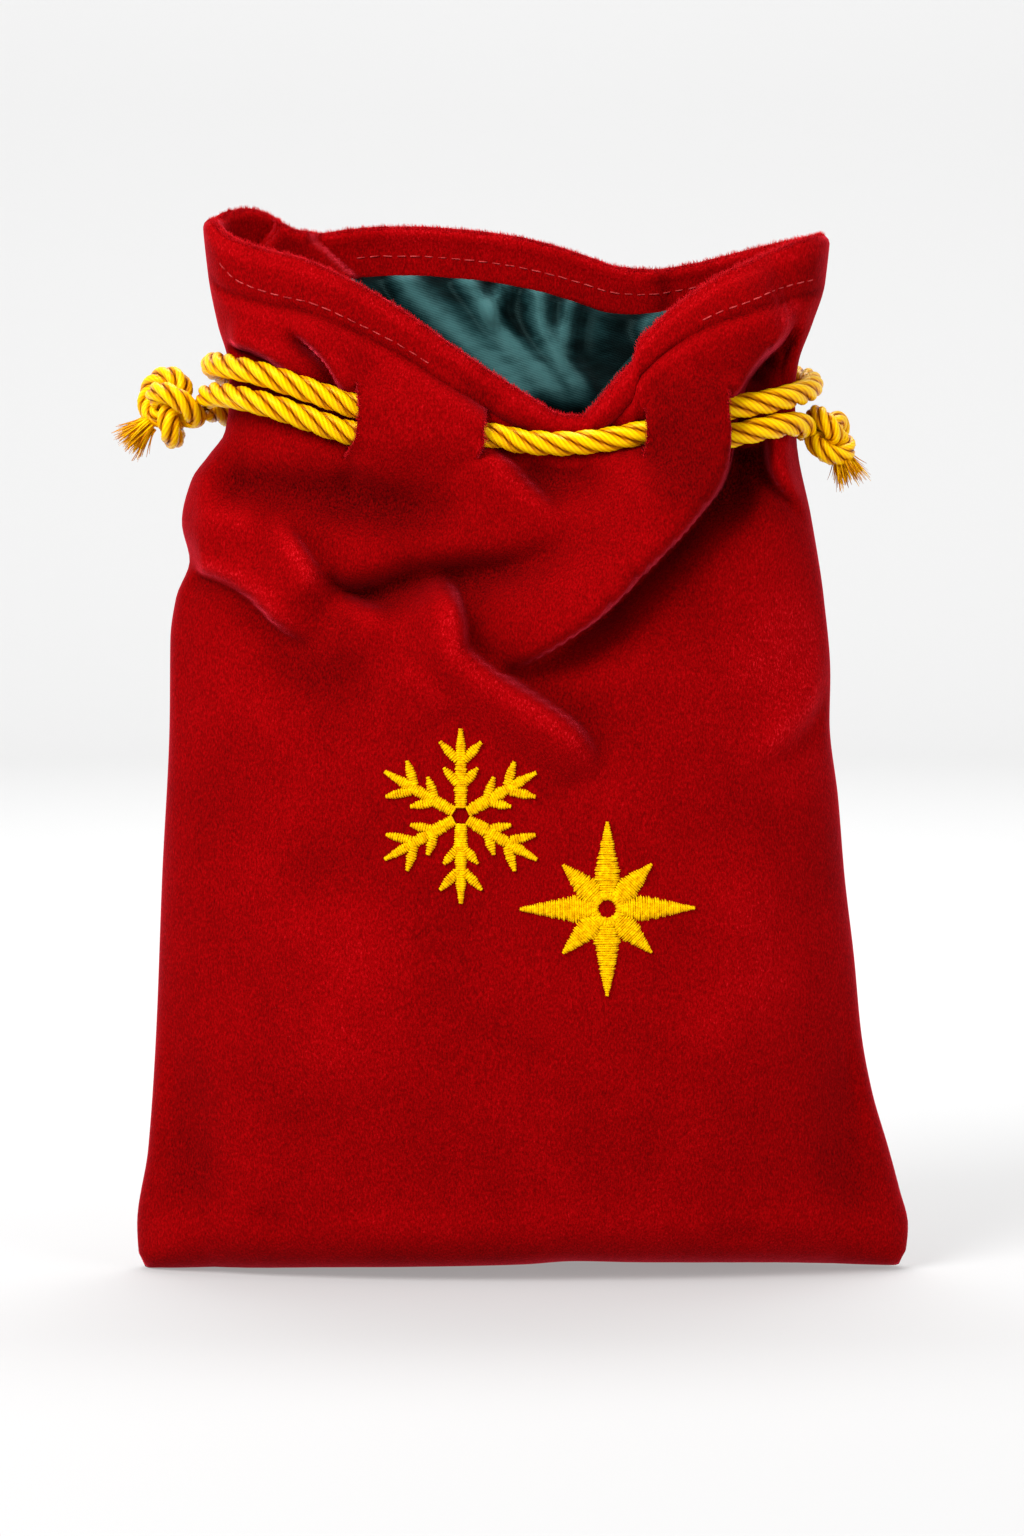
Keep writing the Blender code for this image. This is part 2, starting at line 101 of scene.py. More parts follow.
BACK_RIM = [
    (-92, 304.5), (-90, 304.5), (-86, 307), (-80, 308), (-75, 307), (-70, 304), (-66, 301.8),
    (-60, 301), (-50, 302.2), (-40, 303), (-30, 303), (-20, 302.4), (-10, 301.4), (0, 299.8),
    (10, 297.3), (20, 294), (28, 291.4), (38, 290.5), (50, 292.2), (60, 294.6), (70, 297), (80, 299),
    (89, 300),
]
FRONT_HEM = [(-92, 13.5), (-50, 12), (-14, 9), (15, 7), (33, 8.5), (60, 12), (89, 13.5)]
BACK_HEM = [(-92, 13.5), (-60, 14), (0, 14.5), (40, 13), (89, 13.5)]
BASE_LIFT = [
    (-112, 0), (-83, 1.2), (-59, 2.4), (-27, 3.2), (0, 4), (15, 5), (30, 4.6), (74, 3.8), (112, 1.5),
]
FRONT_SLITS = [-0.54, -0.09, 0.468, 0.716]
SLIT_HALF_WIDTH = 0.35
SLIT_REACH = 6.6
CORD_UNDER_RUNS = (1, 3)
FRONT_BAND = [
    (-92, 254.6, 263), (-78, 253, 261.2), (-70, 250.8, 258.9), (-60, 247.3, 255.3),
    (-46, 243, 250.9), (-32, 242.8, 250.2), (-20, 242.8, 247.4), (-9, 242.8, 243.2),
    (0, 241.2, 241.2), (11, 240.6, 240.6), (23, 241.6, 241.6), (34, 243.4, 243.8),
    (44, 243.7, 246.9), (54, 241.9, 249.6), (62, 243.4, 251.2), (69, 245, 252.4),
    (76, 246.3, 254), (89, 246.6, 257),
]
CORD_DEPTH = [(0, 25), (44, 25), (56, 24.8), (66, 23.3), (72, 21.5), (78, 18), (90, 18)]


def along(table, keys, column=1):
    """Smooth values of a table at an array of keys, with no overshoot between its points."""
    xs = np.array([row[0] for row in table], float)
    ys = np.array([row[column] for row in table], float)
    slope = np.diff(ys) / np.diff(xs)
    before = np.concatenate([[0.0], slope])
    after = np.concatenate([slope, [0.0]])
    same = before * after > 0
    bend = np.where(same, 2 * before * after / np.where(same, before + after, 1.0), 0.0)
    keys = np.clip(np.asarray(keys, float), xs[0], xs[-1])
    i = np.clip(np.searchsorted(xs, keys, side="right") - 1, 0, len(xs) - 2)
    width = xs[i + 1] - xs[i]
    t = (keys - xs[i]) / width
    rise = ys[i] * (1 + 2 * t) * (1 - t) ** 2 + ys[i + 1] * t * t * (3 - 2 * t)
    return rise + width * t * (1 - t) * (bend[i] * (1 - t) - bend[i + 1] * t)


def bulge(across, z):
    """How full the cross section is at a fraction of its half width."""
    return np.maximum(0.0, 1 - np.abs(across) ** along(SECTION_POWER, z)) ** along(SECTION_ROOT, z)


def wall(across, z, inset=0.0, inset_depth=0.0):
    """x and depth of a wall at a height."""
    left, right = along(LEFT_EDGE, z), along(RIGHT_EDGE, z)
    depth = (along(HALF_DEPTH, z) - inset_depth) * bulge(across, z)
    return (left + right) / 2 + ((right - left) / 2 - inset) * across, np.maximum(depth, SEAM_GAP)


def smooth(t):
    """Ease from 0 to 1."""
    t = np.clip(t, 0.0, 1.0)
    return t * t * (3 - 2 * t)


def base_lift(x, y):
    """How far the base is off the floor: most under the front, nothing under the back."""
    return along(BASE_LIFT, x) * (1 - smooth((y + 24) / 48))


def over_the_foot(across, top, count, inset=0.0):
    """A run from the base seam over the base, round the foot and up to a height.

    Gives its heights, where it is still on the base or the foot, and its depth there.
    """
    foot = (along(HALF_DEPTH, FOOT_RADIUS) - inset) * bulge(across, FOOT_RADIUS)
    radius = np.minimum(FOOT_RADIUS, np.maximum(foot, 0.01))
    flat = np.maximum(foot - radius, 0)
    turn = radius * math.pi / 2
    run = np.linspace(0, 1, count)[:, None] * (flat + turn + top - radius)
    angle = np.clip((run - flat) / radius, 0, math.pi / 2)
    low_down = run < flat + turn
    z = np.where(low_down, radius * (1 - np.cos(angle)), radius + run - flat - turn)
    return z, low_down, np.where(run < flat, run, flat + radius * np.sin(angle))


def lifted(z, x, y):
    """Heights with the lift of the base, which dies out by 60 mm up."""
    return z + base_lift(x, y) * (1 - smooth(z / 60))


def spline(points, count):
    """Points on a smooth curve through a list of points."""
    pts = np.array(points, float)
    pts = np.vstack([2 * pts[0] - pts[1], pts, 2 * pts[-1] - pts[-2]])
    t = np.linspace(0, len(points) - 1 - 1e-9, count)
    i = t.astype(int)
    u = (t - i)[:, None]
    a, b, c, d = pts[i], pts[i + 1], pts[i + 2], pts[i + 3]
    square, cube = 2 * a - 5 * b + 4 * c - d, 3 * b - a - 3 * c + d
    return 0.5 * (2 * b + (c - a) * u + square * u ** 2 + cube * u ** 3)


class Folds:
    """Folds laid on a panel: each adds depth, may lean sideways, and paints highlight and shade into the
    cloth's colour.
    """

    def __init__(self, x, z):
        self.x, self.z = x, z
        self.depth = np.zeros_like(x)
        self.lean_x = np.zeros_like(x)
        self.lean_z = np.zeros_like(x)
        self.tone = np.zeros_like(x)

    def near(self, line):
        """Distance from a line, its sign (above 0 on the left of the way), place along it, and its left."""
        path = spline(line, 80)
        way = np.gradient(path, axis=0)
        way /= np.linalg.norm(way, axis=1)[:, None]
        gap2 = np.full(self.x.shape, 1e9)
        nearest = np.zeros(self.x.shape, int)
        for k, point in enumerate(path):
            here = (self.x - point[0]) ** 2 + (self.z - point[1]) ** 2
            nearest = np.where(here < gap2, k, nearest)
            gap2 = np.minimum(gap2, here)
        left = np.stack([-way[nearest, 1], way[nearest, 0]], axis=-1)
        offset = np.stack([self.x - path[nearest, 0], self.z - path[nearest, 1]], axis=-1)
        side = (left * offset).sum(axis=-1)
        return np.sqrt(gap2), np.where(side >= 0, 1, -1), nearest / (len(path) - 1), left

    def step(self, line, height, gentle, steep, drop, recess, fade=(0.3, 0.3), lean=0.0, sheen=1.0):
        """A fold with its full side on the left of the way, falling into a recess on the right."""
        gap, sign, place, left = self.near(line)
        share = smooth(place / fade[0]) * smooth((1 - place) / fade[1])
        crest = np.where(sign > 0, np.exp(-(gap / gentle) ** 2), np.exp(-(gap / steep) ** 2))
        into = (1 - np.exp(-(gap / steep) ** 2)) * np.exp(-(gap / recess) ** 2)
        self.depth += share * (height * crest - np.where(sign < 0, drop * into, 0))
        push = lean * share * np.exp(-(gap / (0.45 * gentle)) ** 2)
        self.lean_x -= left[..., 0] * push
        self.lean_z -= left[..., 1] * push
        # painted highlight along the crest, as much as the sheen share gives, and painted shade in the recess
        signed = gap * sign
        self.tone += sheen * share * np.exp(-((signed - 0.4) / 2.4) ** 2)
        self.tone -= np.where(sign < 0, share * min(1.0, drop / 5) * into, 0)

    def soft(self, line, height, left_width, right_width, fade=(0.3, 0.3)):
        """A plain soft ridge, or a valley when its height is below 0."""
        gap, sign, place, _ = self.near(line)
        share = smooth(place / fade[0]) * smooth((1 - place) / fade[1])
        form = share * np.exp(-(gap / np.where(sign > 0, left_width, right_width)) ** 2)
        self.depth += height * form
        # painted highlight on a ridge, painted shade in a valley
        self.tone += form * max(-1.0, min(0.5, height / 5))


def front_folds(x, z):
    """The folds of the front panel."""
    f = Folds(x, z)
    # the long fold that leaves the right-hand strap and runs down to the left
    f.step([(-13, 176), (-6, 178), (2, 183), (10, 189), (20, 197), (30, 207), (40, 217), (46, 224),
            (51.5, 231), (54, 239), (55.5, 250), (58.5, 260), (65, 269), (72, 275), (79, 279)],
           8.5, 19, 1.7, 10.5, 11.5, (0.3, 0.1), lean=3.6, sheen=0.25)
    # the ridge left of the middle that runs down to the embroidery
    f.step([(20, 146), (18, 150), (13, 157), (5, 163), (-5, 169.5), (-14, 175.5), (-20, 182), (-21, 190),
            (-24, 198), (-30, 203)], 6.4, 9, 3.6, 4.5, 11, (0.25, 0.2), lean=1.8, sheen=0.8)
    # the dark valley across the middle, between the two
    f.soft([(-62, 204), (-57, 199), (-50, 196.5), (-41, 199), (-31, 202.5), (-18, 204), (-4, 205.5),
            (10, 210), (24, 217)], -7.0, 4.5, 7.0, (0.2, 0.3))
    # folds under the left-hand cords
    f.step([(-34, 187), (-41, 190), (-50, 193.5), (-58, 199), (-63, 206), (-68, 214), (-71, 221)],
           4.6, 9, 3.0, 3.5, 8, (0.3, 0.3), lean=1.2, sheen=0.9)
    f.step([(-104, 206), (-97, 207), (-89, 206), (-80, 202.5), (-74, 198), (-68, 192), (-62, 188),
            (-56, 186)], 5.5, 8, 2.6, 4.5, 8, (0.12, 0.35), lean=1.2, sheen=1.0)
    f.soft([(-92, 231), (-76, 228), (-60, 226), (-44, 224), (-26, 221), (-12, 219)],
           -5.5, 7, 8, (0.15, 0.3))
    f.soft([(-96, 220), (-84, 219), (-72, 216)], 2.5, 6, 5)
    # puckers above the left-hand cords
    f.step([(-87, 272), (-78, 270), (-71, 267), (-65, 262.5), (-60, 258), (-55, 252)],
           4.6, 6, 1.8, 8.0, 6, (0.15, 0.2), lean=1.2, sheen=0.4)
    f.step([(-68, 275), (-60, 271), (-54, 265), (-50, 258), (-46, 251)],
           3.6, 6, 1.8, 6.5, 5, (0.3, 0.2), lean=0.8, sheen=0.3)
    # the hollow right of the long fold, above and below the right-hand cords
    f.soft([(62, 256), (66, 263), (72, 269)], -3.4, 6, 6)
    f.step([(72, 250), (72, 242), (72.5, 234), (75.5, 229), (80, 224), (85, 219)], 4.0, 6, 1.8, 5.0, 5,
           (0.12, 0.4), sheen=0.7)
    f.soft([(63, 242), (63, 232), (59, 222), (50, 210)], -5.0, 7, 7, (0.1, 0.6))
    # the fold that runs down from the second slit, and the hollow under the middle of the cord
    f.step([(14, 217), (8, 220), (1, 226), (-5, 232), (-10.5, 238), (-11, 243)], 3.4, 9, 2.6, 3.5, 8,
           (0.4, 0.1), lean=0.8, sheen=0.6)
    f.soft([(-2, 237), (6, 232), (16, 231), (26, 234)], -3.0, 5, 6)
    f.soft([(-46, 236), (-49, 231), (-54, 227)], -1.6, 4, 4)
    f.soft([(40, 236), (37, 229), (31, 222)], 1.6, 6, 5)
    f.soft([(-6, 250), (-14, 257), (-26, 264)], -1.6, 4, 4, (0.1, 0.6))
    f.soft([(46, 262), (53, 262), (60, 266)], -1.6, 3.5, 3.5)
    # the fuller, quieter lower half
    f.soft([(-78, 180), (-64, 176), (-50, 173), (-38, 172)], -2.4, 7, 8)
    f.step([(-19, 163), (-24, 169), (-30, 175), (-36, 180)], 1.6, 8, 4, 1.2, 7, sheen=0.35)
    f.step([(62, 150), (72, 155), (80, 163), (88, 173), (93, 178)],
           2.0, 7, 3.5, 2.4, 8, (0.4, 0.1), sheen=0.4)
    f.soft([(-78, 20), (-72, 16), (-65, 15)], -1.2, 4, 4)
    f.soft([(54, 12), (62, 10), (70, 12)], -1.2, 3, 4)
    f.soft([(-100, 70), (-95, 40), (-98, 8)], -2.0, 8, 8)
    f.soft([(98, 76), (93, 40), (97, 8)], -2.0, 8, 8)
    f.soft([(-60, 120), (-50, 90), (-56, 50)], 1.6, 16, 18)
    f.soft([(60, 130), (66, 92), (58, 44)], 1.8, 18, 16)
    # crushed pile by the right-hand tip of the mouth
    for start_x, start_z in ((74, 282), (78, 277), (72, 273), (80, 270), (70, 278), (84, 281)):
        f.step([(start_x, start_z), (start_x + 3, start_z - 1.4), (start_x + 6.5, start_z - 0.6)],
               0.5, 1.2, 0.6, 0.5, 1.2, (0.3, 0.4), sheen=0.7)
    # painted shade on the strap between the right-hand slits, painted light on the foot and the right flank
    strap = smooth((x - 32) / 6) * smooth((60 - x) / 8)
    f.tone -= 0.7 * strap * smooth((z - 216) / 14) * smooth((266 - z) / 12)
    f.tone += 0.35 * smooth((26 - z) / 26)
    f.tone += 0.5 * smooth((x - 50) / 20) * smooth((z - 130) / 30) * smooth((225 - z) / 30)
    return f


def back_folds(x, z):
    """The folds of the back panel."""
    f = Folds(x, z)
    # the pleat at the left of its mouth, which comes forward
    f.step([(-30, 270), (-37, 277.5), (-44, 283.5), (-51, 289), (-58, 295), (-64, 300), (-70, 306)],
           -10.0, 15, 0.9, -1.0, 9, (0.35, 0.05), sheen=0.0)
    # painted shade in the recess right of the pleat
    f.tone -= 1.3 * np.exp(-((x + 51 + (z - 292)) / 8) ** 2) * smooth((z - 276) / 12)
    f.soft([(38, 290), (39, 284), (41, 274)], -2.2, 3, 5, (0.1, 0.5))
    # folds that fan down from the slits, and the valleys between them
    f.step([(0, 184), (-20, 194), (-38, 208), (-52, 224), (-60, 240)],
           7.0, 15, 3.2, 7.0, 12, (0.4, 0.1), lean=2.2, sheen=0.4)
    f.step([(2, 172), (20, 188), (34, 200), (48, 212), (58, 228)],
           6.0, 9, 3.6, 4.0, 10, (0.3, 0.1), sheen=0.9)
    f.soft([(70, 206), (50, 197), (30, 202), (8, 207), (-14, 214)], -6.0, 6, 7)
    f.step([(60, 194), (70, 206), (80, 218), (88, 232)], 4.6, 9, 3, 3.5, 7, sheen=0.8)
    f.step([(-66, 276), (-72, 268), (-78, 258)], 2.8, 5, 3, 3.5, 5, sheen=0.4)
    f.step([(48, 278), (56, 270), (62, 260)], 2.8, 5, 3, 3.5, 5, sheen=0.4)
    f.step([(-6, 208), (2, 220), (8, 238)], 3.0, 8, 3, 3.0, 7, (0.4, 0.1), sheen=0.5)
    # the fuller lower half
    f.soft([(-84, 186), (-70, 178), (-50, 174)], -2.6, 7, 8)
    f.soft([(66, 160), (40, 154), (20, 160)], -2.0, 8, 8)
    f.soft([(-100, 70), (-95, 40), (-98, 8)], -2.0, 8, 8)
    f.soft([(98, 76), (93, 40), (97, 8)], -2.0, 8, 8)
    f.soft([(-50, 130), (-56, 92), (-48, 44)], 2.0, 18, 16)
    f.soft([(56, 124), (50, 90), (60, 44)], 1.8, 16, 18)
    return f


def puff(x, z, side):
    """Slow, uneven fullness of the filled cloth."""
    wave = np.sin(x / 21 + z / 47 + side) * np.sin(z / 33 - x / 60 + 1.3)
    ripple = np.sin(x / 8.5 - z / 13 + 2 * side) * np.sin(z / 9.5 + x / 24)
    return (wave + 0.28 * ripple) * smooth(z / 40) * smooth((262 - z) / 30)


BODY_ROWS, BAND_ROWS, TOP_ROWS, TURN_ROWS, HEM_ROWS = 118, 9, 30, 5, 10
MOUTH_ROW = BODY_ROWS + 2 * BAND_ROWS + TOP_ROWS
RIM_ROW = MOUTH_ROW + TURN_ROWS // 2
COLUMN_FINENESS = 7
FRONT_COLUMNS = (8, 4, 5, 3, 6)


def panel_grid(across, side, over):
    """Places (rows x columns x 3, mm) of the velvet for a run of columns, hem included."""
    rim_table, hem_table = (FRONT_RIM, FRONT_HEM) if side == FRONT else (BACK_RIM, BACK_HEM)
    x_top = wall(across, MOUTH_HEIGHT)[0]
    x_neck = wall(across, NECK_HEIGHT)[0]
    rim = along(rim_table, x_top)
    rim = np.where(rim > 270, rim, along(rim_table, x_neck))
    hem = along(hem_table, x_top)
    # the cords' band on the back mirrors the front's
    key = x_neck if side == FRONT else 2 * NECK_MIDDLE - x_neck
    low, high = along(FRONT_BAND, key, 1), along(FRONT_BAND, key, 2)

    # up from the base seam: over the base, round the foot, and up the wall
    z, low_down, foot_depth = over_the_foot(across, low - CORD_EASE - VELVET / 2, BODY_ROWS)
    x, depth = wall(across, z)
    depth = np.where(low_down, foot_depth, depth)
    z = z + VELVET / 2

    # up to the cords, through their band, and on to the mouth
    span = np.maximum(high - low, 0.3)
    room = rim - HEM_TURN - low - span
    rows_up = [low - CORD_EASE * (1 - k / BAND_ROWS) for k in range(1, BAND_ROWS + 1)]
    rows_up += [low + span * k / BAND_ROWS for k in range(1, BAND_ROWS + 1)]
    rows_up += [low + span + room * k / TOP_ROWS for k in range(1, TOP_ROWS + 1)]
    z_up = np.array(rows_up)
    x_up, depth_up = wall(np.broadcast_to(across, z_up.shape), z_up)

    x, z, depth = np.vstack([x, x_up]), np.vstack([z, z_up]), np.vstack([depth, depth_up])
    folds = front_folds(x, z) if side == FRONT else back_folds(x, z)
    # the folds die out at the side seams and at the foot
    level = smooth((1 - np.abs(across)) / 0.06) * smooth((z - 2) / 14)
    depth = depth + (FOLD_DEPTH * folds.depth + puff(x, z, side)) * level
    x = x + folds.lean_x * level
    z = z + folds.lean_z * level
    tone = folds.tone * level
    rim_line = low + span + room

    # the cords press the cloth in where they lie outside it, and lift it where they are under
    gap = np.maximum(np.maximum(low - z, z - high), 0)
    from_slit = np.minimum(x_neck - x_neck[0], x_neck[-1] - x_neck)
    ease = CORD_EASE * (1 + (0.9 * smooth(from_slit / 9) if over else 0))
    share = 1 - smooth(gap / ease)
    cord = along(CORD_DEPTH, np.abs(x - NECK_MIDDLE))
    held = np.maximum(depth, cord + CORD_CLEAR) if over else np.minimum(depth, cord - CORD_CLEAR)
    depth = depth + (held - depth) * share
    # the hem is two layers of pile, so it stands proud of the stitching that holds it
    down = (rim_line - z) / hem
    inner = smooth((1 - np.abs(across)) / 0.05)
    swell = np.where(down < 1, np.sin(math.pi * np.clip(down, 0, 1)) ** 0.6, 0)
    depth = depth + inner * HEM_FULLNESS * swell
    below = rim_line - hem - z
    pressed = np.exp(-((below - 4) / 3) ** 2) - np.exp(-(below / 1.3) ** 2)
    depth = depth + inner * STITCH_DIP * pressed
    # painted highlight along the rolled mouth edge and just below the stitching, painted shade in the stitch
    # groove
    tone = tone + 0.55 * np.exp(-(((rim_line - z) - 1.0) / 2) ** 2)
    tone = tone + 0.3 * np.exp(-((below - 3.4) / 2.2) ** 2) - 0.6 * np.exp(-(below / 1.2) ** 2)
    z = lifted(z, x, side * depth)

    # over the mouth edge and down inside: the hem
    inward = np.stack([-np.sign(across) * np.abs(across) ** 5, 1 - np.abs(across) ** 5], axis=-1)
    inward /= np.linalg.norm(inward, axis=-1)[:, None]
    top_x, top_depth, top_z = x[-1], depth[-1], z[-1]
    for k in range(1, TURN_ROWS + 1):
        a = math.pi * k / (TURN_ROWS + 1)
        shift = HEM_TURN * (1 - math.cos(a))
        x = np.vstack([x, top_x + inward[:, 0] * shift])
        depth = np.vstack([depth, top_depth - inward[:, 1] * shift])
        z = np.vstack([z, top_z + HEM_TURN * math.sin(a)])
    for k in range(HEM_ROWS + 1):
        down = top_z - (hem - HEM_TURN) * k / HEM_ROWS
        # follow the outer layer at that height
        outer = slice(BODY_ROWS, -TURN_ROWS - k)
        x_here, depth_here = top_x, top_depth
        if k:
            x_here, depth_here = (
                np.array([np.interp(down[c], z[outer, c], layer[outer, c]) for c in range(len(across))])
                for layer in (x, depth)
            )
        x = np.vstack([x, x_here + inward[:, 0] * 2 * HEM_TURN])
        depth = np.vstack([depth, depth_here - inward[:, 1] * 2 * HEM_TURN])
        z = np.vstack([z, down])
    depth = np.maximum(depth, SEAM_GAP)
    # painted light on the turn over the mouth edge, fading to painted shade down the inside of the hem
    turned_in = np.concatenate([np.full(TURN_ROWS, 0.5), np.linspace(0.3, -0.2, HEM_ROWS + 1)])
    tone = np.vstack([tone, np.repeat(turned_in[:, None], len(across), axis=1)])
    return np.stack([x, side * depth, z], axis=-1), tone, low, high


def columns(stops, counts):
    """Runs of fractions of the half width, closer together towards the side seams."""
    turns = [math.acos(-s) for s in stops]
    return [
        np.array([-math.cos(a + (b - a) * k / n) for k in range(n + 1)])
        for (a, b), n in zip(zip(turns, turns[1:]), counts)
    ]


def new_piece(name, points, faces, material=None, edges=()):
    """A piece built from points in mm."""
    mesh = bpy.data.meshes.new(name)
    mesh.from_pydata((np.asarray(points) * MM).tolist(), edges, faces)
    if material:
        mesh.materials.append(material)
    if faces:
        mesh.shade_smooth()
    piece = bpy.data.objects.new(name, mesh)
    bpy.context.scene.collection.objects.link(piece)
    return piece


def mark(piece, label, values):
    """Store a value, or a direction, at each point of a piece."""
    values = np.asarray(values, dtype=np.float32)
    if values.ndim == 1:
        piece.data.attributes.new(label, "FLOAT", "POINT").data.foreach_set("value", values)
    else:
        layer = piece.data.attributes.new(label, "FLOAT_VECTOR", "POINT")
        layer.data.foreach_set("vector", values.ravel())


def grid_faces(index, side):
    """Four-sided faces over a grid of point numbers, facing out of their side of the sack."""
    faces = []
    for c in range(index.shape[1] - 1):
        for r in range(index.shape[0] - 1):
            quad = (index[r, c], index[r, c + 1], index[r + 1, c + 1], index[r + 1, c])
            faces.append(tuple(int(i) for i in (quad if side == FRONT else quad[::-1])))
    return faces


def solid_sheet(name, points, faces, thickness, material):
    """A sheet of cloth with its thickness, half on each side."""
    piece = new_piece(name, points, faces, material)
    shell = piece.modifiers.new("thickness", "SOLIDIFY")
    shell.thickness = thickness * MM
    shell.offset = 0
    return piece


def plain_mesh(piece):
    """Apply all modifiers of a piece."""
    graph = bpy.context.evaluated_depsgraph_get()
    mesh = bpy.data.meshes.new_from_object(piece.evaluated_get(graph))
    piece.modifiers.clear()
    piece.data = mesh
    return piece


def make_panel(name, side, material):
    """A velvet panel; also gives its rim, slit edges and hem edge as lines of points (mm)."""
    if side == FRONT:
        stops, counts = [-1] + FRONT_SLITS + [1], FRONT_COLUMNS
    else:
        stops, counts = [-1] + [-s for s in reversed(FRONT_SLITS)] + [1], FRONT_COLUMNS[::-1]
    runs = columns(stops, [n * COLUMN_FINENESS for n in counts])
    points, faces, light_and_shade_values = [], [], []
    lines = {"slits": [], "rim": [], "hem": []}
    previous_last = None
    for k, across in enumerate(runs):
        grid, tone, low, high = panel_grid(across, side, k in CORD_UNDER_RUNS)
        rows, count = grid.shape[:2]
        index = np.zeros((rows, count), int)
        for c in range(count):
            if c == 0 and previous_last is not None:
                z = grid[:, 0, 2]
                parted = (z > low[0] - SLIT_REACH) & (z < high[0] + SLIT_REACH)
                parted[MOUTH_ROW:] = False
                index[:, 0] = previous_last
                open_rows = np.where(parted)[0]
                middle = (open_rows[0] + open_rows[-1]) / 2
                half = max((open_rows[-1] - open_rows[0]) / 2, 1)
                left_line, right_line = [], []
                for r in open_rows:
                    wide = SLIT_HALF_WIDTH * math.sqrt(max(0.1, 1 - ((r - middle) / half) ** 2))
                    points[previous_last[r]][0] -= wide
                    left_line.append(points[previous_last[r]])
                    index[r, 0] = len(points)
                    points.append(grid[r, 0] + np.array([wide, 0, 0]))
                    light_and_shade_values.append(tone[r, 0])
                    right_line.append(points[-1])
                # where the two edges meet, both take their middle place
                for r in range(rows):
                    if not parted[r]:
                        points[previous_last[r]][:] = (points[previous_last[r]] + grid[r, 0]) / 2
                lines["slits"] += [np.array(left_line), np.array(right_line)]
            else:
                index[:, c] = np.arange(len(points), len(points) + rows)
                points += [p.copy() for p in grid[:, c]]
                light_and_shade_values += list(tone[:, c])
        faces += grid_faces(index, side)
        start = 1 if k else 0
        lines["rim"] += [grid[RIM_ROW, c] for c in range(start, count)]
        lines["hem"] += [grid[-1, c] for c in range(start, count)]
        previous_last = index[:, -1]
    piece = solid_sheet(name, points, faces, VELVET, material)
    mark(piece, "painted_shading", light_and_shade_values)
    return piece, lines


# ------------------------------------------------------------------ velvet panels: the cloth
# Short cut pile in a deep pure red.  It shines pale red where the eye runs along the pile, and patches of its
# pile lean different ways at random.  Painted highlight on fold crests and painted shade in their recesses
# are mixed into its colour.
def nodes_for(name):
    """A new material with its node tree and its shader."""
    material = bpy.data.materials.new(name)
    material.use_nodes = True
    tree = material.node_tree
    return material, tree, tree.nodes["Principled BSDF"]


def fill(node, **inputs):
    """Set plain inputs of a node by name, with an underscore for a space."""
    for key, value in inputs.items():
        node.inputs[key.replace("_", " ")].default_value = value
    return node


def add(tree, kind, **inputs):
    """Add a node and set its plain inputs."""
    return fill(tree.nodes.new(kind), **inputs)


def stored(tree, label):
    """A node that reads what is stored at the points of a piece."""
    node = tree.nodes.new("ShaderNodeAttribute")
    node.attribute_name = label
    return node


def blended(tree, first, second, share):
    """A share of a second value mixed into a first one."""
    node = add(tree, "ShaderNodeMix", Factor=share)
    tree.links.new(first, node.inputs["A"])
    tree.links.new(second, node.inputs["B"])
    return node.outputs["Result"]


def leaned(tree, label, share, value):
    """A value with a share of a stored one added to it."""
    node = tree.nodes.new("ShaderNodeMath")
    node.operation = "MULTIPLY_ADD"
    node.inputs[1].default_value = share
    tree.links.new(stored(tree, label).outputs["Fac"], node.inputs[0])
    tree.links.new(value, node.inputs[2])
    return node.outputs["Value"]


def coloured(tree, shader, value, stops):
    """Colour a shader by a value, through a ramp of (place, colour) pairs."""
    node = ramp(tree, stops)
    tree.links.new(value, node.inputs["Fac"])
    tree.links.new(node.outputs["Color"], shader.inputs["Base Color"])


def bumped(tree, shader, height, strength, distance, under=None):
    """Bump a shader by a height, on top of another bump if one is given."""
    node = add(tree, "ShaderNodeBump", Strength=strength, Distance=distance)
    tree.links.new(height, node.inputs["Height"])
    if under:
        tree.links.new(under.outputs["Normal"], node.inputs["Normal"])
    tree.links.new(node.outputs["Normal"], shader.inputs["Normal"])
    return node


def ramp(tree, stops):
    """A colour ramp from (place, colour) pairs."""
    node = tree.nodes.new("ShaderNodeValToRGB")
    for k, (place, colour) in enumerate(stops):
        stop = node.color_ramp.elements[k] if k < 2 else node.color_ramp.elements.new(place)
        stop.position = place
        stop.color = (*colour, 1)
    return node


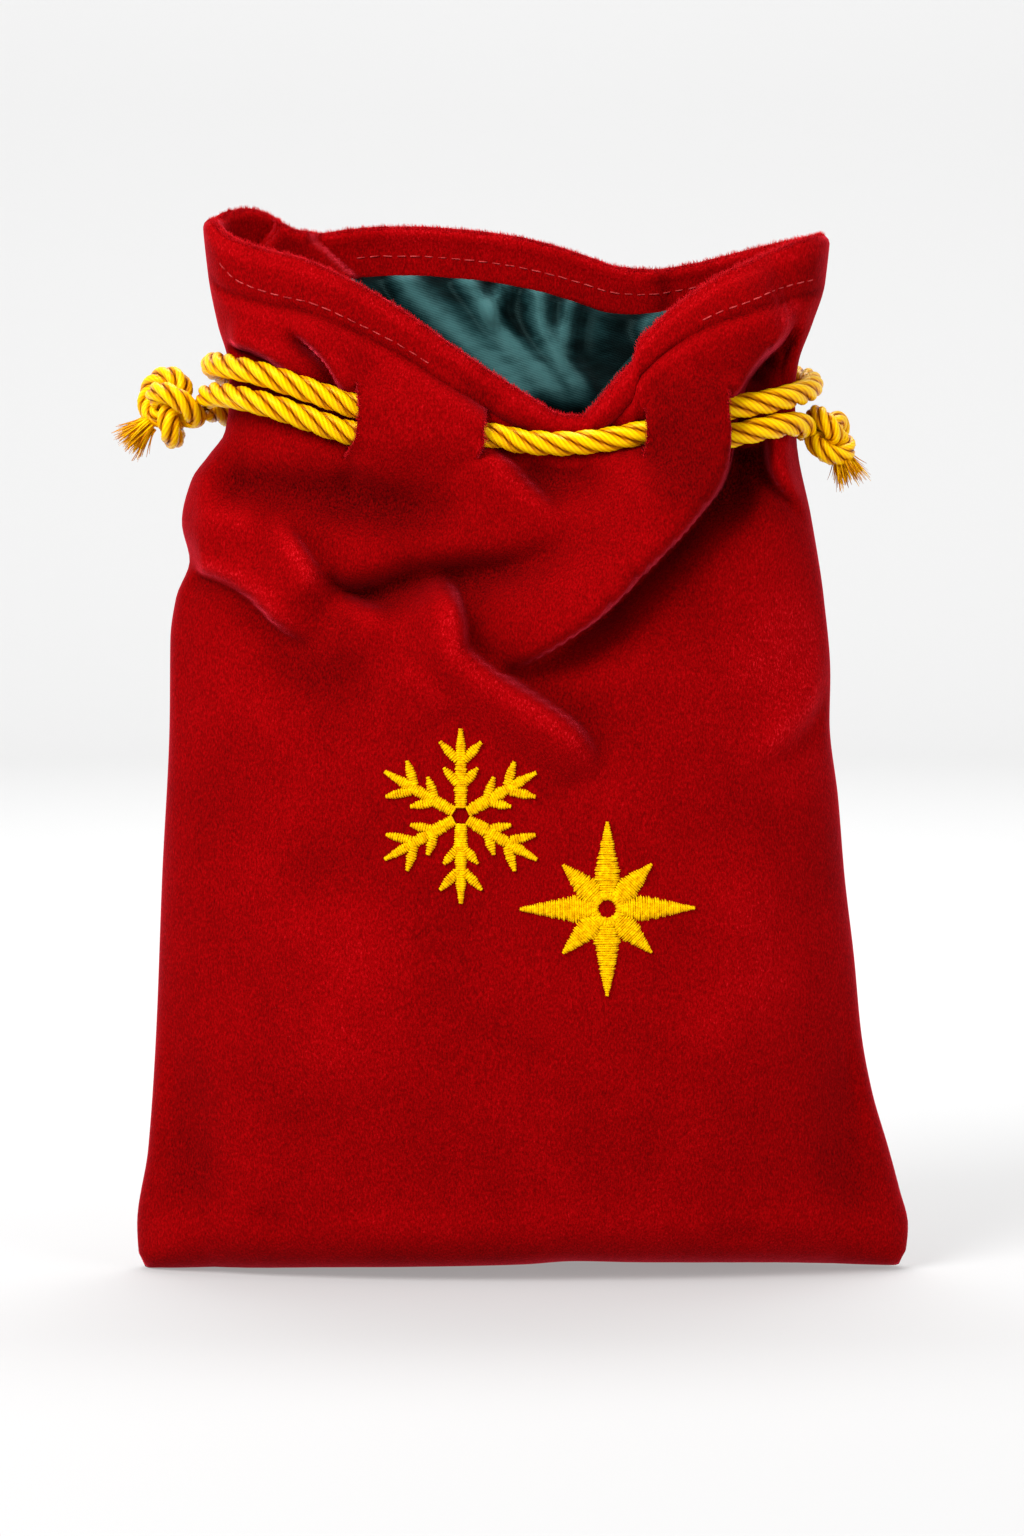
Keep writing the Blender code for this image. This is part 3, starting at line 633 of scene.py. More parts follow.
def velvet_material(name):
    """Deep red pile with a pale sheen."""
    material, tree, shader = nodes_for(name)
    link = tree.links.new
    place = tree.nodes.new("ShaderNodeTexCoord")
    pile = add(tree, "ShaderNodeTexNoise", Scale=2100.0, Detail=2.0, Roughness=0.65)
    patches = add(tree, "ShaderNodeTexNoise", Scale=38.0, Detail=3.0, Roughness=0.55)
    clumps = add(tree, "ShaderNodeTexNoise", Scale=420.0, Detail=3.0, Roughness=0.6)
    stretch = add(tree, "ShaderNodeMapping", Scale=(1.0, 1.0, 0.5))
    link(place.outputs["Object"], stretch.inputs["Vector"])
    link(stretch.outputs["Vector"], pile.inputs["Vector"])
    link(place.outputs["Object"], patches.inputs["Vector"])
    link(place.outputs["Object"], clumps.inputs["Vector"])
    both = blended(tree, pile.outputs["Fac"], patches.outputs["Fac"], 0.22)
    # the painted highlight and shade stored by the folds shift the colour
    coloured(tree, shader, leaned(tree, "painted_shading", 0.2, both), [
        (0.12, (0.02, 0.0, 0.0)), (0.30, (0.10, 0.0, 0.0002)), (0.5, (0.205, 0.0, 0.0004)),
        (0.68, (0.34, 0.0004, 0.0016)), (0.88, (0.72, 0.012, 0.02)),
    ])
    fill(shader, Roughness=0.9, Specular_IOR_Level=0.02)
    fill(shader, Sheen_Weight=1.0, Sheen_Roughness=0.28, Sheen_Tint=(1.0, 0.05, 0.09, 1))
    soft = bumped(tree, shader, clumps.outputs["Fac"], 0.16, 0.001)
    bumped(tree, shader, pile.outputs["Fac"], 0.4, 0.0004, under=soft)
    return material


velvet = velvet_material("red_velvet")
front_velvet, front_lines = make_panel("front_velvet", FRONT, velvet)
back_velvet, back_lines = make_panel("back_velvet", BACK, velvet)
for piece, node in ((front_velvet, "front_panel"), (back_velvet, "back_panel")):
    plain_mesh(piece)
    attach(piece, "root")
    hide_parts(node)

# ------------------------------------------------------------------ what is laid along a line
# Stitches, embroidery and pile tufts are small pieces laid along a line on the cloth, each
# turned to the cloth's own face, with a little unevenness.
def laying_tree():
    """Geometry nodes: lays copies of one small piece along the lines of a mesh."""
    tree = bpy.data.node_groups.new("lay_along", "GeometryNodeTree")
    sockets = {}
    for label, kind, where in (
        ("Lines", "NodeSocketGeometry", "INPUT"), ("Piece", "NodeSocketObject", "INPUT"),
        ("Spacing", "NodeSocketFloat", "INPUT"), ("Size jitter", "NodeSocketFloat", "INPUT"),
        ("Turn jitter", "NodeSocketFloat", "INPUT"), ("Seed", "NodeSocketInt", "INPUT"),
        ("Material", "NodeSocketMaterial", "INPUT"), ("Laid", "NodeSocketGeometry", "OUTPUT"),
    ):
        sockets[label] = tree.interface.new_socket(label, in_out=where, socket_type=kind).identifier
    node = tree.nodes.new
    link = tree.links.new
    given = node("NodeGroupInput").outputs
    curve = node("GeometryNodeMeshToCurve")
    even = node("GeometryNodeResampleCurve")
    even.mode = "LENGTH"
    info = node("GeometryNodeObjectInfo")
    out = node("GeometryNodeInputNamedAttribute")
    size = node("GeometryNodeInputNamedAttribute")
    for reader, label in ((out, "out"), (size, "size")):
        reader.data_type = "FLOAT_VECTOR"
        reader.inputs["Name"].default_value = label
    upright = node("FunctionNodeAlignRotationToVector")
    upright.axis = "Z"
    along_line = node("FunctionNodeAlignRotationToVector")
    along_line.axis = "X"
    along_line.pivot_axis = "Z"
    tangent = node("GeometryNodeInputTangent")
    turn = node("FunctionNodeRandomValue")
    turn.data_type = "FLOAT_VECTOR"
    least_turn = node("ShaderNodeMath")
    least_turn.operation = "MULTIPLY"
    least_turn.inputs[1].default_value = -1.0
    as_rotation = node("FunctionNodeEulerToRotation")
    turned = node("FunctionNodeRotateRotation")
    turned.rotation_space = "LOCAL"
    change = node("FunctionNodeRandomValue")
    least = node("ShaderNodeMath")
    least.operation = "SUBTRACT"
    least.inputs[0].default_value = 1.0
    most = node("ShaderNodeMath")
    most.inputs[0].default_value = 1.0
    scaled = node("ShaderNodeVectorMath")
    scaled.operation = "SCALE"
    copies = node("GeometryNodeInstanceOnPoints")
    real = node("GeometryNodeRealizeInstances")
    coloured = node("GeometryNodeSetMaterial")
    floats = [s for s in change.inputs if s.type == "VALUE"]
    link(given["Lines"], curve.inputs["Mesh"])
    link(curve.outputs["Curve"], even.inputs["Curve"])
    link(given["Spacing"], even.inputs["Length"])
    link(given["Piece"], info.inputs["Object"])
    link(out.outputs["Attribute"], upright.inputs["Vector"])
    link(upright.outputs["Rotation"], along_line.inputs["Rotation"])
    link(tangent.outputs["Tangent"], along_line.inputs["Vector"])
    link(given["Turn jitter"], least_turn.inputs[0])
    link(least_turn.outputs["Value"], turn.inputs["Min"])
    link(given["Turn jitter"], turn.inputs["Max"])
    link(given["Seed"], turn.inputs["Seed"])
    link(turn.outputs["Value"], as_rotation.inputs["Euler"])
    link(along_line.outputs["Rotation"], turned.inputs["Rotation"])
    link(as_rotation.outputs["Rotation"], turned.inputs["Rotate By"])
    link(given["Size jitter"], least.inputs[1])
    link(given["Size jitter"], most.inputs[1])
    link(least.outputs["Value"], floats[0])
    link(most.outputs["Value"], floats[1])
    link(given["Seed"], change.inputs["Seed"])
    link(size.outputs["Attribute"], scaled.inputs["Vector"])
    link([s for s in change.outputs if s.type == "VALUE"][0], scaled.inputs["Scale"])
    link(even.outputs["Curve"], copies.inputs["Points"])
    link(info.outputs["Geometry"], copies.inputs["Instance"])
    link(turned.outputs["Rotation"], copies.inputs["Rotation"])
    link(scaled.outputs["Vector"], copies.inputs["Scale"])
    link(copies.outputs["Instances"], real.inputs["Geometry"])
    link(real.outputs["Geometry"], coloured.inputs["Geometry"])
    link(given["Material"], coloured.inputs["Material"])
    link(coloured.outputs["Geometry"], node("NodeGroupOutput").inputs["Laid"])
    return tree, sockets


LAY_ALONG, LAY_SOCKETS = laying_tree()


def lay(name, lines, piece, spacing, size_jitter, turn_jitter, seed, material):
    """Lay a piece along lines; a line is (points, outward directions, sizes), the points in mm."""
    points, outs, sizes, edges = [], [], [], []
    for line, out, size in lines:
        first = len(points)
        points += [tuple(float(v) for v in p) for p in line]
        outs += [tuple(float(v) for v in o) for o in out]
        sizes += [tuple(float(v) for v in z) for z in size]
        edges += [(first + k, first + k + 1) for k in range(len(line) - 1)]
    laid = new_piece(name, points, [], edges=edges)
    mark(laid, "out", outs)
    mark(laid, "size", sizes)
    layer = laid.modifiers.new("lay", "NODES")
    layer.node_group = LAY_ALONG
    for label, value in (("Piece", piece), ("Spacing", spacing * MM), ("Size jitter", size_jitter),
                         ("Turn jitter", turn_jitter), ("Seed", seed), ("Material", material)):
        layer[LAY_SOCKETS[label]] = value
    return plain_mesh(laid)


THREAD_SIDES, THREAD_STEPS = 6, 8


def tube_faces(first, rings, sides):
    """Faces of a closed tube of rings of points, the first of them at a number."""
    faces = []
    for k in range(rings - 1):
        for j in range(sides):
            a, b = first + k * sides + j, first + k * sides + (j + 1) % sides
            faces.append((a, b, b + sides, a + sides))
    faces.append(tuple(range(first + sides - 1, first - 1, -1)))
    last = first + (rings - 1) * sides
    faces.append(tuple(range(last, last + sides)))
    return faces


def thread_piece(name, length, radius, arch, slant=0.0):
    """A short arched thread along X, its ends dipping into the cloth; a slant turns it about Z."""
    points = []
    for k in range(THREAD_STEPS + 1):
        s = 2 * k / THREAD_STEPS - 1
        lift = arch * (1 - s ** 4) - arch * 0.45 * s ** 4
        wide = radius * (1 - 0.35 * s ** 8)
        for j in range(THREAD_SIDES):
            a = 2 * math.pi * j / THREAD_SIDES
            points.append((s * length / 2, wide * math.cos(a), lift + 0.8 * wide * math.sin(a)))
    turn = Matrix.Rotation(slant, 3, "Z")
    faces = tube_faces(0, THREAD_STEPS + 1, THREAD_SIDES)
    return new_piece(name, [turn @ Vector(p) for p in points], faces)


def tuft_piece(name, length, spread, fibres, seed):
    """A tuft of short pile, standing up from the cloth."""
    pick = random.Random(seed)
    points, faces = [], []
    for _ in range(fibres):
        root = Vector((pick.uniform(-1, 1), pick.uniform(-1, 1), -0.2)) * spread
        lean = Vector((pick.uniform(-1, 1), pick.uniform(-1, 1), 0)) * 0.55 * length
        tip = root + lean + Vector((0, 0, length * pick.uniform(0.6, 1.1)))
        first = len(points)
        for j in range(3):
            a = 2 * math.pi * j / 3
            points.append(root + Vector((math.cos(a), math.sin(a), 0)) * 0.12)
        points.append(tip)
        faces += [(first + j, first + (j + 1) % 3, first + 3) for j in range(3)]
        faces.append((first + 2, first + 1, first))
    piece = new_piece(name, points, faces)
    piece.data.shade_flat()
    # painted highlight: the tips of the fibres are lighter than their roots
    mark(piece, "painted_shading", [0.5, 0.5, 0.5, 1.9] * fibres)
    return piece


def thread_material(name, dark, light, gloss):
    """Spun thread: fine bright fibres over a darker tone."""
    material, tree, shader = nodes_for(name)
    place = tree.nodes.new("ShaderNodeTexCoord")
    fibre = add(tree, "ShaderNodeTexNoise", Scale=900.0, Detail=3.0, Roughness=0.6)
    tree.links.new(place.outputs["Object"], fibre.inputs["Vector"])
    coloured(tree, shader, fibre.outputs["Fac"], [(0.32, dark), (0.66, light)])
    fill(shader, Roughness=1 - gloss, Specular_IOR_Level=0.35, Specular_Tint=(*light, 1))
    bumped(tree, shader, fibre.outputs["Fac"], 0.3, 0.0002)
    return material


def cloth_tree(piece):
    """A finder for places on a piece of cloth."""
    corners = [v.co.copy() for v in piece.data.vertices]
    return BVHTree.FromPolygons(corners, [tuple(f.vertices) for f in piece.data.polygons])


def on_cloth(tree, x, z, start, way):
    """Place (mm) and smoothed outward face of the cloth met by going along Y from a start."""
    hit = tree.ray_cast(Vector((x, start, z)) * MM, Vector((0, way, 0)))
    if hit[0] is None:
        return None
    face = Vector()
    for dx, dz in ((0, 0), (2, 0), (-2, 0), (0, 2), (0, -2)):
        near = tree.ray_cast(Vector((x + dx, start, z + dz)) * MM, Vector((0, way, 0)))
        if near[0] is not None and (near[0] - hit[0]).length < 6 * MM:
            face += near[1] if near[1].y * way < 0 else -near[1]
    return np.array(hit[0]) / MM, np.array(face.normalized())


def cloth_lines(tree, places, start, way, size, raise_by=0.0):
    """Lines on the cloth through (x, z) places, broken where the cloth is missed or jumps."""
    lines, now = [], []
    for k, (x, z) in enumerate(places):
        found = on_cloth(tree, x, z, start, way)
        if found is None or (now and np.linalg.norm(found[0] - now[-1][0]) > 5):
            if len(now) > 2:
                lines.append(now)
            now = []
        if found is not None:
            wide = size[k] if isinstance(size, list) else size
            now.append((found[0] + found[1] * raise_by, found[1], wide))
    if len(now) > 2:
        lines.append(now)
    return [tuple(zip(*line)) for line in lines]


front_tree, back_tree = cloth_tree(front_velvet), cloth_tree(back_velvet)

# ------------------------------------------------------------------ hem stitching
# One row of pinkish-red machine stitching holds the turned hem all round the mouth.  It goes
# through both layers, so it shows inside and outside, drawn down into the pile.
STITCH_PITCH = 3.9
ABOVE_EDGE = 0.8
INSIDE_RISE = 5.5
OUTSIDE = 200
stitch = thread_piece("hem_stitch", 2.7, 0.19, 0.18)
hem_thread = thread_material("hem_thread", (0.26, 0.006, 0.008), (0.55, 0.06, 0.06), 0.3)
for name, node, lines, tree, side in (
    ("front_stitches", "front_hem_stitching", front_lines, front_tree, FRONT),
    ("back_stitches", "back_hem_stitching", back_lines, back_tree, BACK),
):
    row = [(p[0], p[2] + ABOVE_EDGE) for p in lines["hem"][6:-6]]
    # no stitches show outside in the dip of the front's mouth, nor inside under the back's pleat
    outside = [p for p in row if side == BACK or p[0] < -27]
    rows = cloth_lines(tree, outside, side * OUTSIDE, -side, (1, 1, 1), 0.02)
    if side == FRONT:
        rows += cloth_lines(tree, [p for p in row if p[0] > 52], -OUTSIDE, 1, (1, 1, 1), -0.05)
    inside = [(x, z + INSIDE_RISE) for x, z in row if x > -48] if side == BACK else row
    rows += cloth_lines(tree, inside, 0, side, (1, 1, 1))
    piece = lay(name, rows, stitch, STITCH_PITCH, 0.12, 0.06, 4, hem_thread)
    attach(piece, "root")
    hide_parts(node)

# ------------------------------------------------------------------ seams
# Three runs of dark red lock stitch join the two velvet panels, at the sides and across
# the base.  The thread is spun polyester, and it lies on the inside of the sack.
SEAM_PITCH = 2.6
seam_thread = thread_material("seam_thread", (0.12, 0.002, 0.004), (0.3, 0.008, 0.012), 0.35)
seam_stitch = thread_piece("seam_stitch", 2.2, 0.3, 0.1)
SEAM_INSET = 2.9
heights = np.linspace(6, 286, 90)
left_run = np.stack([along(LEFT_EDGE, heights) + SEAM_INSET, 0 * heights, heights], axis=-1)
right_run = np.stack([along(RIGHT_EDGE, heights) - SEAM_INSET, 0 * heights, heights], axis=-1)
reach = np.linspace(-106, 106, 60)
base_run = np.stack([reach, 0 * reach, 1.8 + base_lift(reach, 0)], axis=-1)
for name, node, run, up in (
    ("left_seam_thread", "left_seam", left_run, (0, -1, 0)),
    ("right_seam_thread", "right_seam", right_run, (0, -1, 0)),
    ("base_seam_thread", "base_seam", base_run, (0, 0, 1)),
):
    seam = [(run, [up] * len(run), [(1, 1, 1)] * len(run))]
    piece = lay(name, seam, seam_stitch, SEAM_PITCH, 0.1, 0.04, 9, seam_thread)
    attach(piece, "root")
    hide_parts(node)

# ------------------------------------------------------------------ embroidery
# Two motifs in bright yellow rayon: a snowflake and an eight-pointed star.  Every arm is a
# column of satin stitch, each stitch lying across it and sinking into the pile at its ends.
SNOWFLAKE = (-17.5, 135.5)
STAR = (24, 109)
SATIN_PITCH = 0.66
satin_stitch = thread_piece("satin_stitch", 1.0, 0.37, 0.62, slant=math.pi / 2 - 0.16)
gold_thread = thread_material("gold_thread", (0.62, 0.27, 0.0), (1.0, 0.62, 0.0), 0.45)


def satin_column(start, end, widths):
    """A column of satin stitch from one place to another; widths are spread along it."""
    start, end = np.array(start, float), np.array(end, float)
    count = max(5, int(np.linalg.norm(end - start) / 1.2))
    t = np.linspace(0, 1, count)
    places = [tuple(p) for p in start + (end - start) * t[:, None]]
    wide = np.interp(t, np.linspace(0, 1, len(widths)), widths)
    return cloth_lines(front_tree, places, -OUTSIDE, 1, [(1, w, 1) for w in wide], 0.2)


def on_arm(centre, angle, out, across=0.0):
    """A place at a distance out along an arm, and across it."""
    way = np.array([math.sin(angle), math.cos(angle)])
    return np.array(centre) + way * out + np.array([way[1], -way[0]]) * across


flake, star = [], []
for k in range(6):
    a = math.pi / 3 * k
    flake += satin_column(on_arm(SNOWFLAKE, a, 2.6), on_arm(SNOWFLAKE, a, 24.5), [3.2, 3.8, 3.2, 3.0, 1.2])
    for out, long in ((9.5, 5.4), (16.0, 6.6)):
        for hand in (-1, 1):
            tip = on_arm(SNOWFLAKE, a, out + 0.72 * long, hand * long * 0.86)
            flake += satin_column(on_arm(SNOWFLAKE, a, out, hand * 1.2), tip, [2.6, 2.8, 1.2])
for k in range(8):
    a = math.pi / 4 * k
    far = 24.5 if k % 2 == 0 else 17.5
    star += satin_column(on_arm(STAR, a, 3.6), on_arm(STAR, a, far), [3.6, 7.4, 5.6, 3.4, 1.0])
for k in range(16):
    a = math.pi / 8 * k
    star += satin_column(on_arm(STAR, a, 3.9), on_arm(STAR, a + math.pi / 8, 3.9), [2.8, 2.8])
for name, node, motif in (("snowflake_stitches", "embroidered_snowflake", flake),
                          ("star_stitches", "embroidered_star", star)):
    piece = lay(name, motif, satin_stitch, SATIN_PITCH, 0.1, 0.04, 12, gold_thread)
    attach(piece, "root")
    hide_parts(node)

# ------------------------------------------------------------------ pile at the edges
# Where the velvet turns over at the mouth, and where it was cut for the cords, its pile
# stands out as soft tufts.
TUFT_PITCH = 0.55
tuft = tuft_piece("pile_tuft", 1.7, 0.55, 7, 2)
for name, lines, side in (("front_pile", front_lines, FRONT), ("back_pile", back_lines, BACK)):
    rim = np.array(lines["rim"])
    edges = []
    for lift, lean in ((0.35, -0.9), (0.6, 0.0), (0.35, 0.9)):
        shift = np.array([0, lean * 1.5, lift * 0.6 - 0.4])
        edges.append((rim + shift, [(0, lean, 1)] * len(rim), [(1, 1, 1)] * len(rim)))
    for slit in lines["slits"]:
        cut = slit + np.array([0, side * 0.5, 0])
        edges.append((cut, [(0, side, 0.1)] * len(cut), [(0.8, 0.8, 0.8)] * len(cut)))
    piece = lay(name, edges, tuft, TUFT_PITCH, 0.35, 0.5, 21, velvet)
    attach(piece, "root")
# the small pieces were only copied from
for small in (stitch, seam_stitch, satin_stitch, tuft):
    bpy.data.objects.remove(small)

# ------------------------------------------------------------------ satin lining
# A second, lighter bag of dark teal satin, sewn in under the hem.  It hangs slack, so it gathers in soft
# folds that run down to the drawn-in neck; painted highlight brightens their ridges and painted shade darkens
# the inside below the neck.
SATIN = 0.7
LINING_INSET = 4.4
LINING_ROWS = 130
NECK_INSET = [(0, 5), (140, 6), (172, 15), (200, 18), (232, 18), (246, 17)]
FRONT_NECK_INSET = NECK_INSET + [(262, 15.5), (272, 12), (280, 7), (290, 5)]
BACK_NECK_INSET = NECK_INSET + [(262, 11), (276, 6.5), (290, 5), (310, 4.4)]


def satin_material(name):
    """Dark teal satin with a fine weave; painted highlight and shade stored at its points light its ridges
    and darken its valleys.
    """
    material, tree, shader = nodes_for(name)
    link = tree.links.new
    place = tree.nodes.new("ShaderNodeTexCoord")
    weave = add(tree, "ShaderNodeTexWave", Scale=520.0, Distortion=0.6, Detail=2.0, Detail_Scale=1.5)
    weave.wave_type = "BANDS"
    weave.bands_direction = "Z"
    slub = add(tree, "ShaderNodeTexNoise", Scale=160.0, Detail=3.0)
    stretch = add(tree, "ShaderNodeMapping", Scale=(0.6, 1.0, 1.4), Rotation=(0, 0.5, 0))
    link(place.outputs["Object"], stretch.inputs["Vector"])
    link(stretch.outputs["Vector"], slub.inputs["Vector"])
    link(stretch.outputs["Vector"], weave.inputs["Vector"])
    woven = blended(tree, slub.outputs["Fac"], weave.outputs["Fac"], 0.3)
    coloured(tree, shader, leaned(tree, "painted_shading", 0.5, woven), [
        (0.22, (0.0002, 0.001, 0.0012)), (0.55, (0.007, 0.028, 0.03)), (0.95, (0.042, 0.118, 0.12)),
    ])
    fill(shader, Roughness=0.42, Specular_IOR_Level=0.08, Specular_Tint=(0.45, 0.95, 0.92, 1))
    bumped(tree, shader, weave.outputs["Fac"], 0.22, 0.0003)
    return material


LINING_GAP = 3.4
SATIN_RIDGES = [
    ([(-36, 292), (-31, 283), (-23, 276), (-14, 268), (-6, 261), (2, 254), (9, 247)], 6.0, 5.0, 4.2),
    ([(-18, 292), (-12, 282), (-8, 276), (-2, 269), (5, 262), (12, 254), (17, 247)], 5.5, 2.4, 3.8),
    ([(-2, 291), (-6, 285), (-9, 279), (-8, 273)], 4.0, 2.2, 2.4),
    ([(3, 292), (5, 282), (5.5, 275), (9, 268), (13, 262), (18, 255), (21, 247)], 5.5, 3.0, 3.4),
    ([(15, 291), (14, 281), (12.5, 273), (13, 264)], 4.0, 2.8, 2.4),
    ([(25, 288), (23, 277), (20, 264)], 1.5, 4.0, 3.6),
    ([(43, 281), (38, 276), (33, 270)], 4.0, 3.4, 3.2),
    ([(-60, 292), (-50, 282), (-38, 270)], 4.0, 5.0, 4.0),
    ([(62, 292), (56, 280), (46, 268)], 4.0, 5.0, 4.0),
]


def make_lining(name, side, material):
    """Half of the lining, from its base seam up under the velvet hem."""
    across = columns([-1, 0, 1], (80, 80))
    across = np.concatenate([across[0], across[1][1:]])
    rim_table, hem_table = (FRONT_RIM, FRONT_HEM) if side == FRONT else (BACK_RIM, BACK_HEM)
    x_top = wall(across, MOUTH_HEIGHT)[0]
    under_hem = 0.62 if side == FRONT else 0.97
    top = along(rim_table, x_top) - under_hem * along(hem_table, x_top)
    z, low_down, foot_depth = over_the_foot(across, top - LINING_INSET, LINING_ROWS, LINING_INSET)
    z = z + LINING_INSET
    neck = along(FRONT_NECK_INSET if side == FRONT else BACK_NECK_INSET, z)
    sides = LINING_INSET * smooth((300 - z) / 30) + 2.4
    x, depth = wall(np.broadcast_to(across, z.shape), z, sides, neck)
    depth = np.where(low_down, foot_depth, depth)
    f = Folds(x, z)
    if side == BACK:
        # soft folds that fan out from the drawn-in neck
        for line, height, left_wide, right_wide in SATIN_RIDGES:
            f.soft(line, -height, left_wide, right_wide, (0.03, 0.25))
    else:
        for top_x in (-60, -44, -30, 40, 56):
            f.soft([(top_x, 282), (0.8 * top_x, 262), (0.7 * top_x, 244)], -1.5, 5, 4)
    slack = np.sin(x / 7.5 + z / 30) * 0.8 + np.sin(x / 3.8 - z / 17) * 0.25
    depth = depth + (f.depth + slack) * smooth((1 - np.abs(across)) / 0.1) * smooth((z - 60) / 60)
    # it stays inside the velvet where that is folded in
    left, right = along(LEFT_EDGE, z), along(RIGHT_EDGE, z)
    outer = wall((2 * x - left - right) / (right - left), z)[1]
    pushed = front_folds(x, z).depth if side == FRONT else back_folds(x, z).depth
    room = outer + FOLD_DEPTH * np.minimum(pushed, 0) - LINING_GAP
    depth = np.where(low_down, depth, np.minimum(depth, room))
    depth = np.maximum(depth, SEAM_GAP)
    z = lifted(z, x, side * depth)
    grid = np.stack([x, side * depth, z], axis=-1)
    faces = grid_faces(np.arange(z.size).reshape(z.shape), side)
    piece = solid_sheet(name, grid.reshape(-1, 3), faces, SATIN, material)
    # painted highlight on the ridges, and painted shade on the inside below the neck
    mark(piece, "painted_shading", (-1.5 * f.tone - 0.72 - 0.5 * (1 - smooth((z - 240) / 20))).ravel())
    return piece


satin = satin_material("teal_satin")
for name, side, node, outer_piece in (
    ("front_satin", FRONT, "front_lining", "front_velvet"),
    ("back_satin", BACK, "back_lining", "back_velvet"),
):
    piece = plain_mesh(make_lining(name, side, satin))
    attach(piece, "root")
    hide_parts(node)

# ------------------------------------------------------------------ drawstrings
# Two loops of 7 mm twisted rayon rope, four strands each of fine shiny plies.  Each loop
# goes round the neck, in and out of the slits, and both its ends meet in a knot at one side.
CORD = 7.0
LAY = 27.0
STRANDS = 4
LEFT_ROUTE = [
    (-91.1, -5.1, 253.8), (-88.3, -10, 254.6), (-84.2, -15.6, 254.2), (-78.1, -20.6, 253),
    (-70, -23.8, 250.8), (-60, -25, 247.3), (-52, -25, 244.5), (-44, -25, 242.9),
    (-28, -25, 242.8), (-9, -25, 242.9), (0, -25, 241.2), (11, -25, 240.6), (23, -25, 241.6),
    (34, -25, 243.8), (44, -25, 246.9), (54, -25, 249.6), (62, -24.5, 251.2), (69.4, -22.2, 252.4),
    (76.2, -17.6, 254), (81.3, -9.7, 255.6), (83.4, -1, 257.2), (82.7, 8.4, 258.8),
    (78.3, 15.8, 259.8), (70.6, 21.4, 259.4), (62, 24.3, 257.5), (52, 25.1, 254.3),
    (40.2, 25, 250.9), (30, 24.6, 250.7), (22.2, 22, 250), (13.2, 17.4, 247), (4.2, 14, 242.6),
    (-8, 12.7, 239), (-23.8, 12.7, 238), (-33.8, 13.3, 238.4), (-42.8, 15.5, 239.2),
    (-51.8, 21, 240.5), (-60.8, 24.3, 242), (-70.5, 23.9, 243.8), (-79.6, 20.2, 246.8),
    (-91.5, 5.3, 250.5),
]
RIGHT_ROUTE = [
    (81.2, -8.4, 245.1), (79.9, -13.5, 245.9), (76, -18.6, 246), (70.5, -22.1, 245.2),
    (63, -24.2, 243.6), (55, -24.4, 242), (46, -21, 240.5), (37, -15.5, 239.2),
    (28, -13.3, 238.4), (18, -12.7, 238), (2, -12.7, 239), (-10, -14, 242.6), (-19, -17.4, 247),
    (-28, -22, 250.1), (-37, -24.8, 250.8), (-46, -25, 250.9), (-57, -25, 254.4),
    (-66, -24.4, 257.6), (-74.6, -22, 260.4), (-82.3, -17, 262.2), (-87.4, -9.5, 263.2),
    (-89.4, 0, 263), (-88, 9.7, 261.4), (-83.6, 16.8, 258.8), (-76.4, 21.6, 255.4),
    (-68, 24.5, 252), (-59.8, 25, 249.6), (-49.8, 25, 246.9), (-39.8, 25, 243.8),
    (-28.8, 25, 241.6), (-16.8, 25, 240.6), (-5.8, 25, 241.2), (3.2, 25, 242.9), (22, 25, 242.8),
    (38.2, 25, 242.9), (46.2, 25, 244.5), (54.2, 25, 246.8), (62.2, 24.6, 248.2),
    (70.6, 22.1, 248.2), (77.8, 16.8, 247.2), (82.4, 6.2, 244.3),
]


def even_path(points, step):
    """Evenly spaced points along a smooth curve through a route."""
    fine = spline(points, 24 * len(points))
    run = np.concatenate([[0], np.cumsum(np.linalg.norm(np.diff(fine, axis=0), axis=1))])
    wanted = np.linspace(0, run[-1], max(3, round(run[-1] / step)))
    return np.stack([np.interp(wanted, run, fine[:, k]) for k in range(3)], axis=-1)


def frames_along(path, closed):
    """Direction, and two turning-free cross directions, at each point of a path."""
    way = np.gradient(path, axis=0)
    if closed:
        way = np.roll(path, -1, axis=0) - np.roll(path, 1, axis=0)
    way /= np.linalg.norm(way, axis=1)[:, None]
    normal = np.array([0.0, -1.0, 0.0])
    normals = []
    for t in way:
        normal = normal - t * np.dot(normal, t)
        normal /= np.linalg.norm(normal)
        normals.append(normal)
    normals = np.array(normals)
    return way, normals, np.cross(way, normals)


STRAND_SIDES = 30
PLIES = 7


